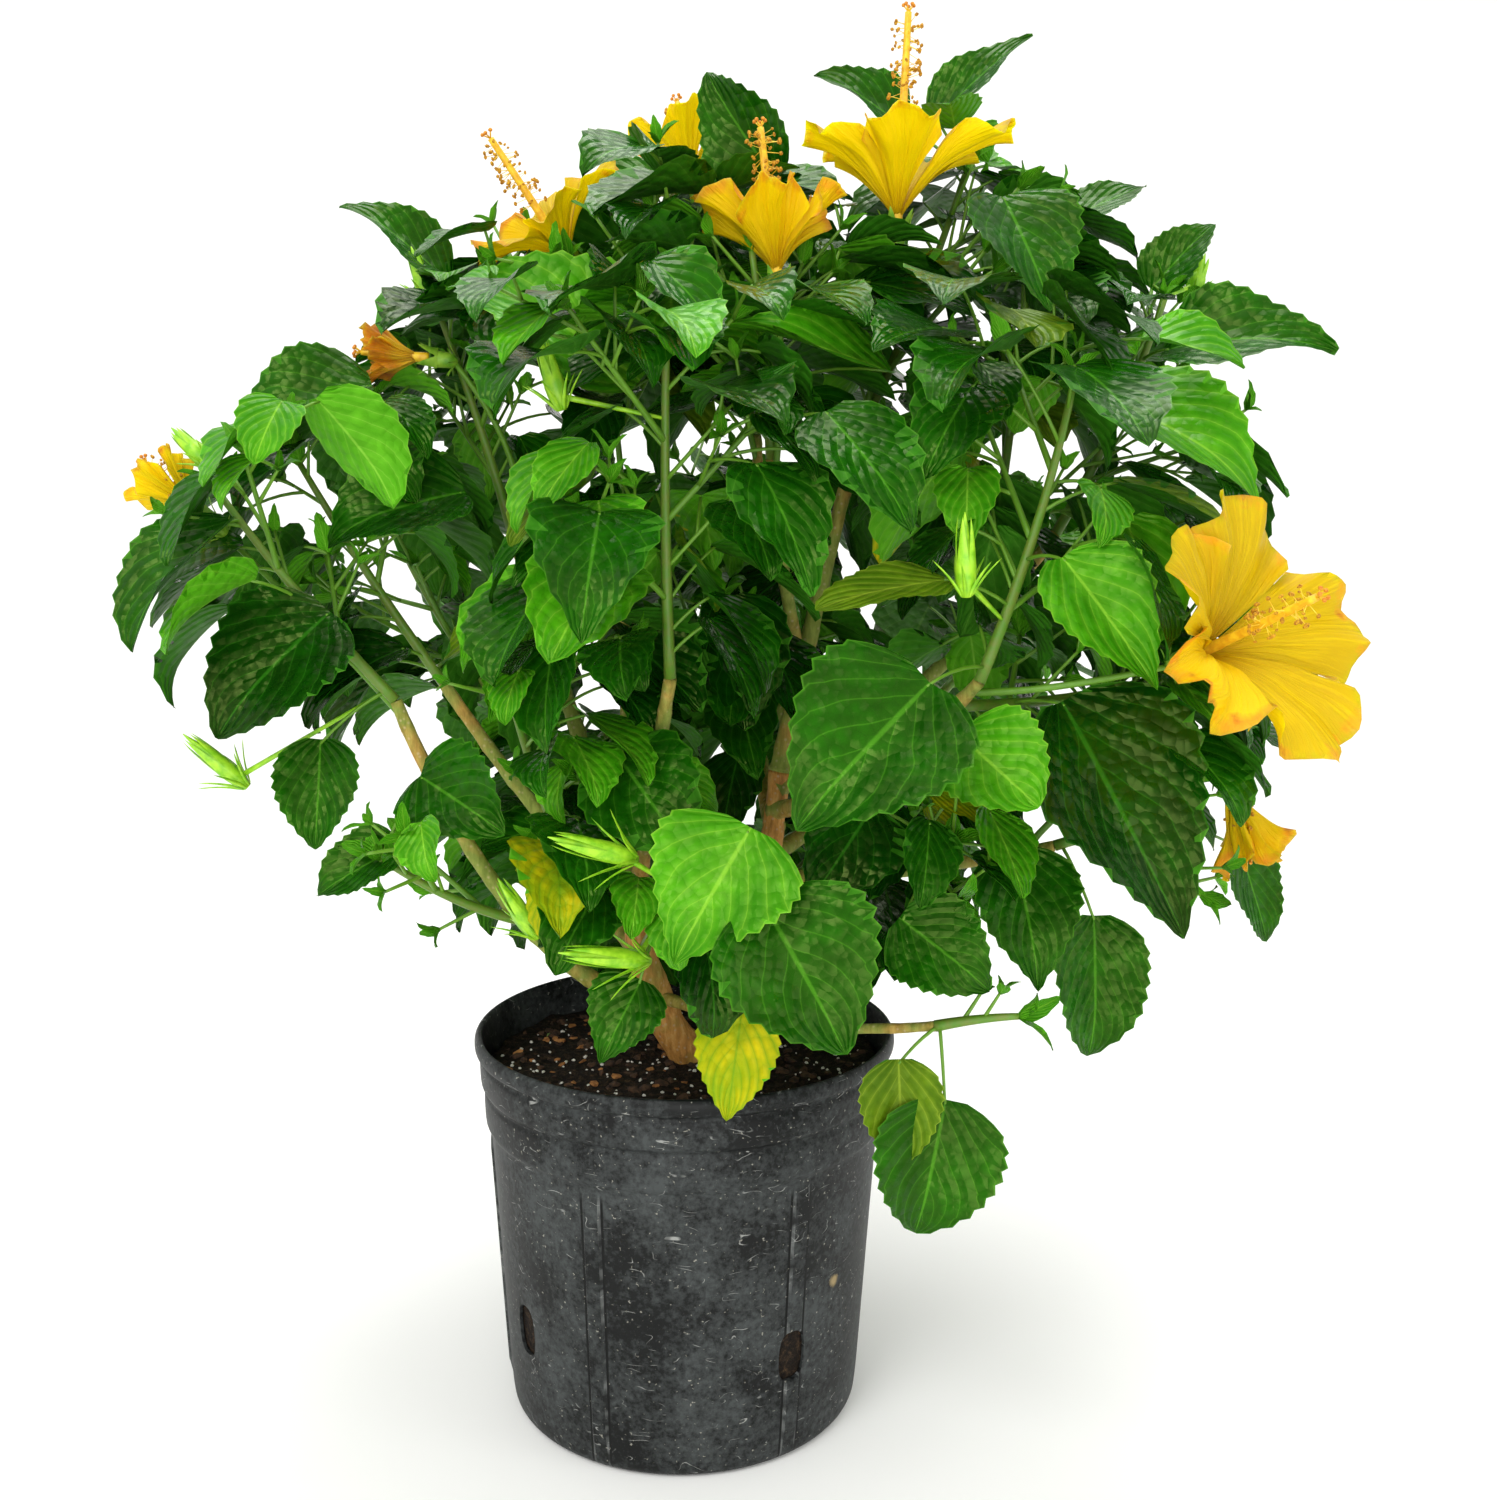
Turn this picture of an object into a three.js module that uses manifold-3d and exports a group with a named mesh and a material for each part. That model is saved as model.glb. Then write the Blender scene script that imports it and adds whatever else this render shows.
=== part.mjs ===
// A yellow-flowered hibiscus shrub in its black nursery pot, about 0.85 m tall.
// Millimetres, +Z up. The origin is the centre of the pot's flat underside and -Y is the front.
//
// The trunk and a second stem stand on the potting mix. Tapering boughs leave them, and each bough
// ends where a mass of foliage begins: a green stem, its side shoots and their leaves, grown by one
// seeded rule. A twig or leaf that would leave its mass's space or touch anything else is turned and
// tried again, and then skipped. Each open or fading flower is fused to its own flowering twig.

import * as THREE from 'three';
import { mergeVertices } from 'three/addons/utils/BufferGeometryUtils.js';
import Module from 'manifold-3d';

const wasm = await Module();
wasm.setup();

// ---------------------------------------------------------------- driving dimensions

const SEAT = 0.3; // clearance between a piece and what carries it
const SMALLEST_EDGE = 0.02; // joins leave no edge shorter than this

const POT = { height: 241, foot: 105, waist: 110.5, heel: 8, shoulder: 121.5, shoulderAt: 182, rim: 131 };
const POT_WALL = 1.8;
const POT_SIDES = 32;
const RIB = { count: 6, first: 6, width: 10, proud: 1.1, sunk: 1.2, bevel: 4, from: 16, to: 176 };
const DRAIN = { count: 4, first: -54.4, width: 18, height: 30, level: 69, depth: 12, sides: 8 };
const SOIL = { top: 219, floor: 2.2, clear: 0.4 };
const RIM_MARGIN = 14; // leaves keep over the rim this far in from its edge

const CROWN_FOOT = new THREE.Vector3(20, 10, 330); // the crown spreads from here
// The crown's outline seen from the front: level, furthest left, furthest right.
const CROWN_OUTLINE = [
  [200, -110, 250], [300, -215, 350], [400, -285, 370], [500, -320, 370], [600, -295, 345],
  [680, -200, 325], [760, -105, 260], [850, 60, 200],
];
const CROWN_DEPTH = 0.88; // its half depth as a share of its half width
const CROWN_FLAT = 0.1; // the part of its depth over which it doesn't narrow

const LIMB_SIDES = 5;
const LIMB_STEPS = 5;
const STEM_SIDES = 9; // of the trunk and the second stem
const STEM_STEPS = 6;
const TWIG_SIDES = 3;

// Radii of three-sided twigs, root and tip, measured to their corners. Each root is thin enough to
// lie inside the twig that it leaves.
const STEM_RADII = [4.2, 2.6];
const SHOOT_RADII = [2, 1.6];
const STALK_RADII = [0.75, 1.2];
const FLOWER_TWIG = { radii: [2.2, 1.6], bow: 0.25, inCalyx: 4 };

// How side shoots leave a mass's stem. `first` and `span` are shares of the stem.
const SHOOT = {
  first: 0.12, span: 0.68, lengths: [0.8, 1.15], onward: 0.55, outward: 0.35, lift: 0.12,
  bare: 0.3, tries: 6, retry: 55,
};
// How leaves leave a twig. Lengths are shares of the mass's leaf length; `high` and `flatter` lift
// the blades near the crown's top.
const LEAF = {
  spacing: [17, 22], lengths: [0.78, 1.08], youngest: 0.62, petiole: [0.4, 0.7], roll: [-0.5, 0.5],
  droop: [0.1, 0.9], high: 560, flatter: 0.004, curl: [0.35, 0.85], onward: 0.5, outward: 0.3,
  lift: 0.15, swing: 0.7, lean: 0.5, tries: 8, retry: 47, shrink: 0.06,
};
const SPIRAL = 137.5; // degrees from one leaf or shoot to the next
const LEAF_WIDTH = 0.86; // of a leaf's length
const LEAF_THICK = 0.02; // thickest part of a blade, as a share of its length
const LEAF_EDGE = [[0, 0], [0.22, 0.5], [0.62, 0.37], [1, 0]]; // along, and half width across
const STALK_SUNK = 8; // how far a stalk runs on under its blade

const BUD = { radius: 6.5, sides: 4, rings: 2, overlap: 2 };
const PETALS = 5;
const PETAL_THICK = 1.6;
const PETAL_RIM_ROW = 4; // of the rows that turn into a flower
const PETAL_NOTCH = 0.22; // how far the rim is drawn in between petals, as a share of their length
const CALYX = { below: 20, foot: 3.2, rim: 6.5 };
const COLUMN = { foot: 2.8, neck: 2, brush: 5.2, brushFrom: 0.6, brushFull: 0.66, brushTo: 0.95 };

// Clearances: how far each kind of test point keeps others away.
const BLADE_STEP = 9.5;
const BLADE_REACH = 7;
const TWIG_STEP = 7;
const TWIG_REACH = 3.6;
const OWN_SHARE = 0.65; // points of the same mass may come this much closer
const LEAVING = { stem: 0.06, shoot: 0.25, stalk: 0.3, flower: 0.12 }; // shares that may touch

const COLOURS = {
  pot: 0x33363a, soil: 0x2a2420, wood: 0x8a6a45, greenwood: 0x6c7d3a, leaf: 0x2f7a26,
  petal: 0xf7cb12, petalSpent: 0xe0902a,
};

// ---------------------------------------------------------------- the plant's tables

// Each row of a table becomes an object with the named fields.
const table = (fields, rows) => rows.map((row) => (
  Object.fromEntries(fields.map((field, index) => [field, row[index]]))
));

// The two stems that stand on the soil. `bow` is how far the middle is drawn aside.
const STEMS = table(['name', 'root', 'tip', 'bow', 'radii', 'flare'], [
  ['trunk', [6, -5], [-29, -20, 338], [-20, -4, -12], [11.5, 8.2], 1.35],
  ['second_stem', [27, 10], [58, 17, 400], [8, 2, 0], [8.6, 6.4], 1.3],
]);

// Boughs: `on` is the limb that each leaves, `at` the share of that limb's length.
const BOUGHS = table(['name', 'on', 'at', 'tip', 'bow', 'radii'], [
  ['bough_left_low', 'trunk', 0.36, [-163, -62, 452], [-10, -18, -70], [6, 3.6]],
  ['bough_left_high', 'trunk', 0.8, [-148, 2, 455], [-4, -2, -8], [5.6, 3.5]],
  ['bough_upper_left', 'trunk', 0.9, [-112, 50, 545], [0, 12, -10], [5.8, 3.4]],
  ['bough_upper_mid', 'trunk', 1, [-48, 42, 570], [2, 8, 0], [6, 3.4]],
  ['bough_centre', 'trunk', 0.93, [-5, -96, 470], [-2, -6, -8], [5.4, 3.6]],
  ['bough_back_left', 'trunk', 0.62, [-128, 130, 420], [-6, 8, -24], [5.6, 3.4]],
  ['bough_low_front', 'trunk', 0.42, [142, -122, 282], [0, -14, -12], [4, 2.6]],
  ['bough_leader', 'second_stem', 1, [104, 10, 610], [-2, 6, 0], [6.2, 3.6]],
  ['bough_right_front', 'second_stem', 0.86, [158, -138, 474], [4, -8, -22], [5.6, 3.6]],
  ['bough_right_high', 'second_stem', 0.94, [226, 24, 548], [6, 2, -30], [5.6, 3.4]],
  ['bough_right_low', 'second_stem', 0.62, [218, -50, 368], [0, -4, -8], [5, 3.2]],
  ['bough_back_right', 'second_stem', 0.7, [168, 128, 432], [4, 8, -22], [5.6, 3.4]],
  ['bough_back', 'second_stem', 0.8, [34, 150, 478], [-2, 10, -20], [5.6, 3.4]],
  ['bough_top_front', 'bough_leader', 0.3, [50, -40, 590], [-4, -10, -6], [4.4, 3]],
  ['bough_back_top', 'bough_leader', 0.12, [42, 92, 608], [-6, 14, -8], [4.8, 3.2]],
]);

// Masses: each grows on from its limb's tip (at 1) or out of its side. Then come its stem's tip and
// bow, how many side shoots it has and how long they are, how long its leaves are, and how far
// from its middle it may reach.
const MASSES = table(['name', 'on', 'at', 'tip', 'bow', 'shoots', 'shoot', 'leaf', 'space'], [
  ['foliage_left_low', 'bough_left_low', 1, [-262, -60, 572], [-4, 0, -4], 2, 70, 84, 140],
  ['foliage_left_high', 'bough_left_high', 1, [-232, 6, 586], [-2, 0, -4], 3, 72, 84, 130],
  ['foliage_left_foot', 'bough_left_low', 0.5, [-168, -88, 366], [0, 0, -10], 2, 60, 76, 95],
  ['foliage_front_left', 'bough_left_high', 0.4, [-98, -92, 478], [0, -6, -8], 3, 76, 86, 130],
  ['foliage_upper_left', 'bough_upper_left', 1, [-156, 44, 684], [4, 2, 0], 3, 78, 88, 140],
  ['foliage_upper_mid', 'bough_upper_mid', 1, [-56, 16, 696], [0, 4, 0], 4, 80, 90, 140],
  ['foliage_centre', 'bough_centre', 1, [-6, -112, 655], [-3, -4, 0], 3, 78, 86, 150],
  ['foliage_front_low', 'trunk', 0.66, [2, -138, 362], [0, -6, 4], 1, 56, 84, 85],
  ['foliage_heart', 'bough_back', 0.35, [16, 6, 500], [0, 0, -8], 3, 70, 82, 120],
  ['foliage_top_front', 'bough_top_front', 1, [38, -56, 702], [2, -4, 0], 3, 72, 90, 140],
  ['foliage_top', 'bough_leader', 1, [170, 70, 768], [6, 12, -6], 3, 78, 90, 140],
  ['foliage_top_right', 'bough_right_high', 0.72, [208, 50, 700], [4, 0, 0], 3, 76, 88, 140],
  ['foliage_right_high', 'bough_right_high', 1, [284, 14, 688], [8, 0, -4], 3, 72, 88, 130],
  ['foliage_right_front', 'bough_right_front', 1, [207, -112, 632], [8, -4, 0], 3, 76, 90, 145],
  ['foliage_right', 'bough_right_front', 0.9, [280, -50, 470], [0, 0, -10], 3, 70, 90, 135],
  ['foliage_front_right', 'bough_right_low', 0.42, [150, -112, 384], [0, -4, 2], 2, 58, 84, 105],
  ['foliage_right_low', 'bough_right_low', 1, [286, -62, 376], [0, 0, 10], 3, 64, 84, 115],
  ['foliage_low_twig', 'bough_low_front', 1, [186, -134, 292], [0, 0, 2], 1, 34, 64, 58],
  ['foliage_back_left', 'bough_back_left', 1, [-208, 192, 520], [-4, 4, -10], 4, 88, 90, 155],
  ['foliage_back', 'bough_back', 1, [48, 246, 570], [0, 6, -12], 4, 88, 90, 160],
  ['foliage_back_right', 'bough_back_right', 1, [256, 190, 540], [4, 4, -10], 4, 88, 90, 160],
  ['foliage_back_top', 'bough_back_top', 1, [4, 146, 738], [0, 6, 0], 4, 84, 90, 155],
  ['foliage_back_low_left', 'trunk', 0.52, [-78, 168, 366], [0, 6, 10], 3, 80, 88, 150],
  ['foliage_back_low_right', 'second_stem', 0.5, [150, 172, 368], [0, 6, 10], 3, 80, 88, 150],
]);

// Leaves that stand out. `face` is the way the upper side looks, `curl` is radians, base to tip.
const SHOW_LEAVES = table(['mass', 'base', 'tip', 'width', 'face', 'curl'], [
  ['foliage_left_low', [-250, -70, 553], [-303, -108, 488], 62, [-0.5, -0.6, 0.6], 0.5],
  ['foliage_left_low', [-196, -72, 503], [-254, -108, 438], 88, [-0.2, -0.85, 0.4], 0.5],
  ['foliage_left_low', [-206, -64, 430], [-206, -84, 370], 52, [0, -0.9, 0.3], 0.2],
  ['foliage_left_high', [-186, 0, 632], [-264, -20, 604], 66, [-0.1, -0.7, 0.7], 0.5],
  ['foliage_left_high', [-130, -12, 570], [-208, -44, 545], 78, [-0.1, -0.7, 0.7], 0.5],
  ['foliage_left_foot', [-144, -92, 414], [-94, -130, 392], 62, [0, -0.9, 0.4], 0.3],
  ['foliage_left_foot', [-158, -82, 372], [-205, -92, 346], 40, [-0.2, -0.7, 0.6], 0.3],
  ['foliage_upper_left', [-148, 40, 697], [-208, 30, 745], 44, [0.5, -0.6, 0.6], 0.5],
  ['foliage_upper_mid', [-24, -56, 632], [-120, -46, 692], 88, [0.3, -0.8, 0.6], 0.5],
  ['foliage_upper_mid', [-14, 88, 759], [-65, 84, 764], 48, [0.1, -0.6, 0.8], 0.5],
  ['foliage_top_front', [52, 40, 758], [8, 46, 822], 56, [-0.6, -0.75, 0.2], 0.5],
  ['foliage_top_front', [112, -98, 634], [18, -110, 660], 56, [0.2, -0.45, 0.9], 0.4],
  ['foliage_top', [150, 75, 800], [209, 72, 853], 42, [-0.5, -0.7, 0.6], 0.35],
  ['foliage_top', [132, 85, 799], [77, 85, 834], 48, [0.2, -0.7, 0.7], 0.4],
  ['foliage_top_right', [180, -22, 738], [204, -58, 672], 66, [0.2, -0.85, 0.4], 0.4],
  ['foliage_top_right', [232, 52, 738], [280, 56, 760], 40, [-0.2, -0.6, 0.8], 0.4],
  ['foliage_right_high', [280, -6, 655], [370, -40, 654], 66, [0.1, -0.75, 0.65], 0.9],
  ['foliage_right_high', [278, 24, 694], [312, 18, 733], 44, [-0.4, -0.7, 0.5], 0.3],
  ['foliage_right_high', [234, -60, 624], [314, -108, 572], 76, [0.3, -0.75, 0.6], 0.6],
  ['foliage_right_front', [193, -168, 540], [236, -198, 478], 60, [0.1, -0.9, 0.4], 0.4],
  ['foliage_right_front', [128, -178, 478], [60, -212, 412], 92, [0, -0.85, 0.5], 0.35],
  ['foliage_right_front', [138, -158, 528], [70, -188, 516], 42, [0, -0.4, 0.9], 0.4],
  ['foliage_right', [202, -136, 464], [265, -166, 345], 104, [0.3, -0.9, 0.4], 0.3],
  ['foliage_front_right', [145, -165, 450], [181, -195, 419], 60, [0, -0.9, 0.4], 0.3],
  ['foliage_front_right', [120, -132, 346], [168, -152, 312], 58, [0, -0.9, 0.4], 0.3],
  ['foliage_front_right', [186, -100, 376], [198, -134, 306], 62, [0.1, -0.95, 0.3], 0.3],
  ['foliage_right_low', [238, -72, 332], [238, -92, 252], 62, [0.2, -0.9, 0.3], 0.3],
  ['foliage_right_low', [346, 10, 355], [370, 16, 292], 44, [0.4, -0.8, 0.3], 0.2],
  ['foliage_front_low', [46, -168, 364], [90, -192, 290], 92, [0.1, -0.9, 0.4], 0.3],
  ['foliage_front_low', [40, -158, 400], [0, -182, 334], 84, [-0.1, -0.85, 0.5], 0.35],
  ['foliage_front_low', [-20, -112, 304], [-42, -130, 262], 44, [-0.1, -0.85, 0.5], 0.3],
  ['foliage_front_low', [36, -124, 292], [28, -142, 234], 46, [0, -0.95, 0.3], 0.3],
  ['foliage_low_twig', [147, -138, 246], [132, -152, 172], 72, [0.1, -0.95, 0.2], 0.2],
  ['foliage_low_twig', [121, -136, 268], [123, -150, 212], 44, [0, -0.95, 0.2], 0.2],
]);

// Buds on their stalks.
const BUDS = table(['mass', 'base', 'tip'], [
  ['foliage_front_low', [-20, -146, 380], [-60, -170, 396]],
  ['foliage_front_low', [-14, -136, 322], [-56, -164, 334]],
  ['foliage_left_foot', [-80, -92, 322], [-98, -104, 356]],
  ['foliage_left_low', [-256, -42, 398], [-286, -52, 428]],
  ['foliage_left_low', [-270, -42, 584], [-288, -42, 602]],
  ['foliage_upper_left', [-158, 32, 684], [-166, 30, 712]],
  ['foliage_centre', [-60, -118, 612], [-70, -120, 646]],
  ['foliage_right_front', [146, -168, 520], [144, -170, 558]],
  ['foliage_right_high', [304, 30, 690], [310, 30, 712]],
]);

// Flowers: the limb that each flowering twig leaves and where, the middle of its throat, the way its
// column points, petal length, how far petals lean from the column at foot and rim (degrees), the
// column's length, and its stage.
const FLOWERS = table(['name', 'on', 'at', 'throat', 'aim', 'petal', 'open', 'column', 'stage'], [
  ['flower_top', 'bough_leader', 0.94, [122, 0, 726], [0.04, 0, 1], 84, [26, 74], 122, 'open'],
  ['flower_middle', 'bough_top_front', 0.9, [52, -62, 686], [-0.12, 0.1, 1], 62, [22, 60], 86, 'fading'],
  ['flower_upper_left', 'bough_upper_mid', 0.88, [-70, 20, 706], [-0.52, -0.25, 0.82], 66,
    [28, 84], 84, 'open'],
  ['flower_back_top', 'bough_back_top', 0.9, [0, 118, 772], [-0.2, 0.3, 0.9], 56, [24, 70], 60, 'open'],
  ['flower_right', 'bough_right_front', 0.96, [262, -166, 492], [0.5, -0.7, 0.4], 86,
    [30, 84], 80, 'open'],
  ['flower_right_low', 'bough_right_low', 0.9, [318, -44, 410], [0.35, 0, -0.92], 60, [10, 30], 52, 'fading'],
  ['flower_left', 'bough_left_low', 0.97, [-278, -34, 556], [-0.7, 0.1, 0.6], 46, [14, 44], 46, 'open'],
  ['flower_spent', 'bough_upper_left', 0.95, [-158, 22, 650], [-0.98, -0.1, 0.08], 40, [16, 34], 40, 'spent'],
]);

// ---------------------------------------------------------------- chance and vectors

const V = (list) => new THREE.Vector3(...list);
const UP = V([0, 0, 1]);
const radians = THREE.MathUtils.degToRad;

// A seeded row of numbers (the Park-Miller rule), one row for each mass.
class Dice {
  constructor(seed) {
    this.state = seed * 7919 + 12345;
  }

  between([low, high]) {
    this.state = (this.state * 16807) % 2147483647;
    return low + ((high - low) * this.state) / 2147483647;
  }
}

// Any unit vector square to `axis`, always chosen the same way.
function squareTo(axis) {
  const helper = Math.abs(axis.z) < 0.9 ? UP : V([1, 0, 0]);
  return new THREE.Vector3().crossVectors(axis, helper).normalize();
}

// `vector` with its part along `axis` taken out, at unit length.
function flattenOn(vector, axis) {
  return vector.clone().addScaledVector(axis, -vector.dot(axis)).normalize();
}

// ---------------------------------------------------------------- limbs and twigs as curves

// One bowed run of wood: a flat curve from `start` to `tip` whose radius tapers evenly.
function makeRun(start, tip, bow, radii) {
  const middle = start.clone().add(tip).multiplyScalar(0.5).add(V(bow));
  const curve = new THREE.QuadraticBezierCurve3(start, middle, tip);
  const chord = tip.clone().sub(start);
  const across = new THREE.Vector3().crossVectors(middle.clone().sub(start), chord);
  const bowed = across.length() > 1e-3 * chord.length();
  const side = bowed ? across.normalize() : squareTo(chord.normalize());
  return { curve, side, radii, length: curve.getLength() };
}

const straightRun = (start, tip, radii) => makeRun(start, tip, [0, 0, 0], radii);
const pointOn = (run, share) => run.curve.getPoint(share);
const aimOn = (run, share) => run.curve.getTangent(share);
const radiusOn = (run, share) => run.radii[0] + (run.radii[1] - run.radii[0]) * share;

// The closed solid of a run, `grown` larger on every side. `flare` widens its foot.
function runGeometry(run, sides, steps, grown = 0, flare = 1) {
  const geometry = new THREE.CylinderGeometry(1, 1, 1, sides, steps);
  const place = geometry.attributes.position;
  for (let i = 0; i < place.count; i += 1) {
    const share = place.getY(i) + 0.5;
    const aim = aimOn(run, share);
    const over = new THREE.Vector3().crossVectors(run.side, aim);
    const foot = 1 + (flare - 1) * Math.max(0, 1 - (share * steps) / 2) ** 2;
    const radius = radiusOn(run, share) * foot + grown;
    const past = grown * (Math.floor(share) - (share === 0 ? 1 : 0));
    const point = pointOn(run, share)
      .addScaledVector(aim, past)
      .addScaledVector(run.side, place.getX(i) * radius)
      .addScaledVector(over, place.getZ(i) * radius);
    place.setXYZ(i, point.x, point.y, point.z);
  }
  return geometry;
}

// ---------------------------------------------------------------- blades

// A leaf's blade: its base, the way it sets off, its upper side, length, width, and how far it
// curls (radians from base to tip).
function makeLeaf(base, aim, face, length, width, curl) {
  const normal = flattenOn(face, aim);
  const side = new THREE.Vector3().crossVectors(aim, normal);
  return { base, aim, normal, side, length, width, curl };
}

// The point of a blade that is `along` and `across` it, on its bent middle surface.
function bladePoint(leaf, along, across, lift = 0) {
  const turn = leaf.curl * along;
  const forward = (Math.sin(turn) / leaf.curl) * leaf.length;
  const drop = ((1 - Math.cos(turn)) / leaf.curl) * leaf.length;
  return leaf.base.clone()
    .addScaledVector(leaf.aim, forward)
    .addScaledVector(leaf.side, across * leaf.width)
    .addScaledVector(leaf.normal, lift - drop);
}

// Half of a blade's width at `along`, as a share of the full width.
function bladeHalf(along) {
  const next = LEAF_EDGE.findIndex(([reached], index) => index > 0 && reached >= along);
  const [from, to] = [LEAF_EDGE[next - 1], LEAF_EDGE[next]];
  return from[1] + ((to[1] - from[1]) * (along - from[0])) / (to[0] - from[0]);
}

// A leaf that reaches from `base` to `tip` and looks towards `face`.
function leafBetween({ base, tip, width, face, curl }) {
  const half = curl / 2;
  const chord = V(tip).sub(V(base));
  const aim = chord.clone().normalize();
  const normal = flattenOn(V(face), aim);
  const setOff = aim.multiplyScalar(Math.cos(half)).addScaledVector(normal, Math.sin(half));
  const length = (chord.length() * half) / Math.sin(half);
  return makeLeaf(V(base), setOff, V(face), length, width, curl);
}

// A leaf with its stalk: a three-sided rod that widens into a flat blade with a ridge along its
// upper side, and ends in a point. Rows run from the stalk's root to the blade's tip.
function leafGeometry({ leaf, stalk }) {
  const rows = LEAF_EDGE.length;
  const geometry = new THREE.ConeGeometry(1, 1, TWIG_SIDES, rows);
  const place = geometry.attributes.position;
  const rise = aimOn(stalk, 0);
  const across = flattenOn(leaf.side, rise);
  const upper = new THREE.Vector3().crossVectors(across, rise);
  for (let i = 0; i < place.count; i += 1) {
    const row = Math.round((place.getY(i) + 0.5) * rows);
    const onRing = Math.hypot(place.getX(i), place.getZ(i)) > 1e-6 ? 1 : 0;
    const angle = Math.atan2(place.getX(i), place.getZ(i));
    const corner = Math.round(angle / radians(360 / TWIG_SIDES));
    let point;
    if (row > 1) {
      const [along, half] = LEAF_EDGE[row - 1];
      const ridge = corner === 0 ? leaf.length * LEAF_THICK : 0;
      point = bladePoint(leaf, along, corner * half * onRing, ridge * onRing);
    } else {
      const radius = stalk.radii[row] * onRing;
      point = (row === 0 ? pointOn(stalk, 0) : leaf.base.clone())
        .addScaledVector(across, Math.sin(angle) * radius)
        .addScaledVector(upper, Math.cos(angle) * radius);
    }
    place.setXYZ(i, point.x, point.y, point.z);
  }
  return geometry;
}

// ---------------------------------------------------------------- flowers

// A flower's own axes: the way its column points, and two ways square to that.
function flowerAxes(flower) {
  const aim = V(flower.aim).normalize();
  const right = squareTo(aim);
  return { aim, right, over: new THREE.Vector3().crossVectors(aim, right), throat: V(flower.throat) };
}

// A point `out` from a flower's axis and `up` along it, `turn` degrees round it.
function aroundFlower({ aim, right, over, throat }, turn, out, up) {
  return throat.clone().addScaledVector(aim, up)
    .addScaledVector(right, out * Math.cos(radians(turn)))
    .addScaledVector(over, out * Math.sin(radians(turn)));
}

// How far out and up a petal has come at `share` of its length, as it opens from foot to rim.
function petalReach(flower, share, lift = 0) {
  const [foot, rim] = flower.open.map(radians);
  const bend = rim - foot;
  const lean = foot + bend * share;
  const out = (flower.petal / bend) * (Math.cos(foot) - Math.cos(lean)) - lift * Math.cos(lean);
  const up = (flower.petal / bend) * (Math.sin(lean) - Math.sin(foot)) + lift * Math.sin(lean);
  return [out, up];
}

// Calyx, corolla and column as one turned solid, drawn in at the rim between the petals, and
// `grown` larger on every side.
function flowerGeometry(flower, grown = 0) {
  const axes = flowerAxes(flower);
  const tall = flower.column;
  const half = PETAL_THICK / 2 + grown;
  const rows = (rim) => [
    [0, -CALYX.below - grown], [CALYX.foot + grown, -CALYX.below - grown], [CALYX.rim + grown, -1],
    petalReach(flower, 0.5, -half), petalReach(flower, rim + (2 * grown) / flower.petal),
    petalReach(flower, 0.5, half), [COLUMN.foot + grown, 5],
    [COLUMN.neck + grown, tall * COLUMN.brushFrom], [COLUMN.brush + grown, tall * COLUMN.brushFull],
    [COLUMN.brush + grown, tall * COLUMN.brushTo], [0, tall + grown],
  ];
  const count = rows(1).length;
  const turns = flower.stage === 'open' ? PETALS * 2 : PETALS;
  const outline = rows(1).map(([out, up]) => new THREE.Vector2(out, up));
  const geometry = new THREE.LatheGeometry(outline, turns);
  // Both faces of the petals are split along the same diagonals, so that they can't cross.
  const index = geometry.index.array;
  for (let turn = 0; turn < turns; turn += 1) {
    const at = 6 * (turn * (count - 1) + PETAL_RIM_ROW);
    const [a, b, d, c] = index.slice(at, at + 4);
    index.set([a, b, c, a, c, d], at);
  }
  const place = geometry.attributes.position;
  for (let i = 0; i < place.count; i += 1) {
    const step = Math.floor(i / count) % turns;
    const between = turns > PETALS && step % 2 === 1;
    const [out, up] = rows(between ? 1 - PETAL_NOTCH : 1)[i % count];
    const point = aroundFlower(axes, (360 / turns) * step, out, up);
    place.setXYZ(i, point.x, point.y, point.z);
  }
  return geometry;
}

// ---------------------------------------------------------------- room for each piece

// Everything that has been placed, as points that keep others away.
const taken = [];

function twigPoints(run, owner, from = 0) {
  const count = Math.max(2, Math.ceil(run.length / TWIG_STEP));
  const points = [];
  for (let i = 0; i <= count; i += 1) {
    const share = from + ((1 - from) * i) / count;
    points.push({ at: pointOn(run, share), reach: TWIG_REACH + radiusOn(run, share), owner });
  }
  return points;
}

function bladePoints(leaf, owner) {
  const points = [];
  const rows = Math.max(3, Math.round(leaf.length / BLADE_STEP));
  for (let row = 0; row < rows; row += 1) {
    const along = (row + 0.5) / rows;
    const half = bladeHalf(along);
    const columns = Math.max(1, Math.round((2 * half * leaf.width) / BLADE_STEP));
    for (let column = 0; column < columns; column += 1) {
      const across = half * ((2 * (column + 0.5)) / columns - 1);
      points.push({ at: bladePoint(leaf, along, across), reach: BLADE_REACH, owner });
    }
  }
  return points;
}

// Points over a flower's open petals.
function petalPoints(flower) {
  const axes = flowerAxes(flower);
  const points = [];
  for (let share = BLADE_STEP / flower.petal; share < 1; share += BLADE_STEP / flower.petal) {
    const [out, up] = petalReach(flower, share);
    const count = Math.max(3, Math.round((2 * Math.PI * out) / BLADE_STEP));
    for (let index = 0; index < count; index += 1) {
      const at = aroundFlower(axes, (360 / count) * index, out, up);
      points.push({ at, reach: BLADE_REACH, owner: flower.name });
    }
  }
  return points;
}

// Whether all the points stand clear of what is placed.
function isClear(points) {
  return points.every((point) => taken.every((other) => {
    const share = other.owner === point.owner ? OWN_SHARE : 1;
    const apart = (point.reach + other.reach) * share;
    const dx = Math.abs(point.at.x - other.at.x);
    const dy = Math.abs(point.at.y - other.at.y);
    return dx > apart || dy > apart || point.at.distanceTo(other.at) >= apart;
  }));
}

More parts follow.
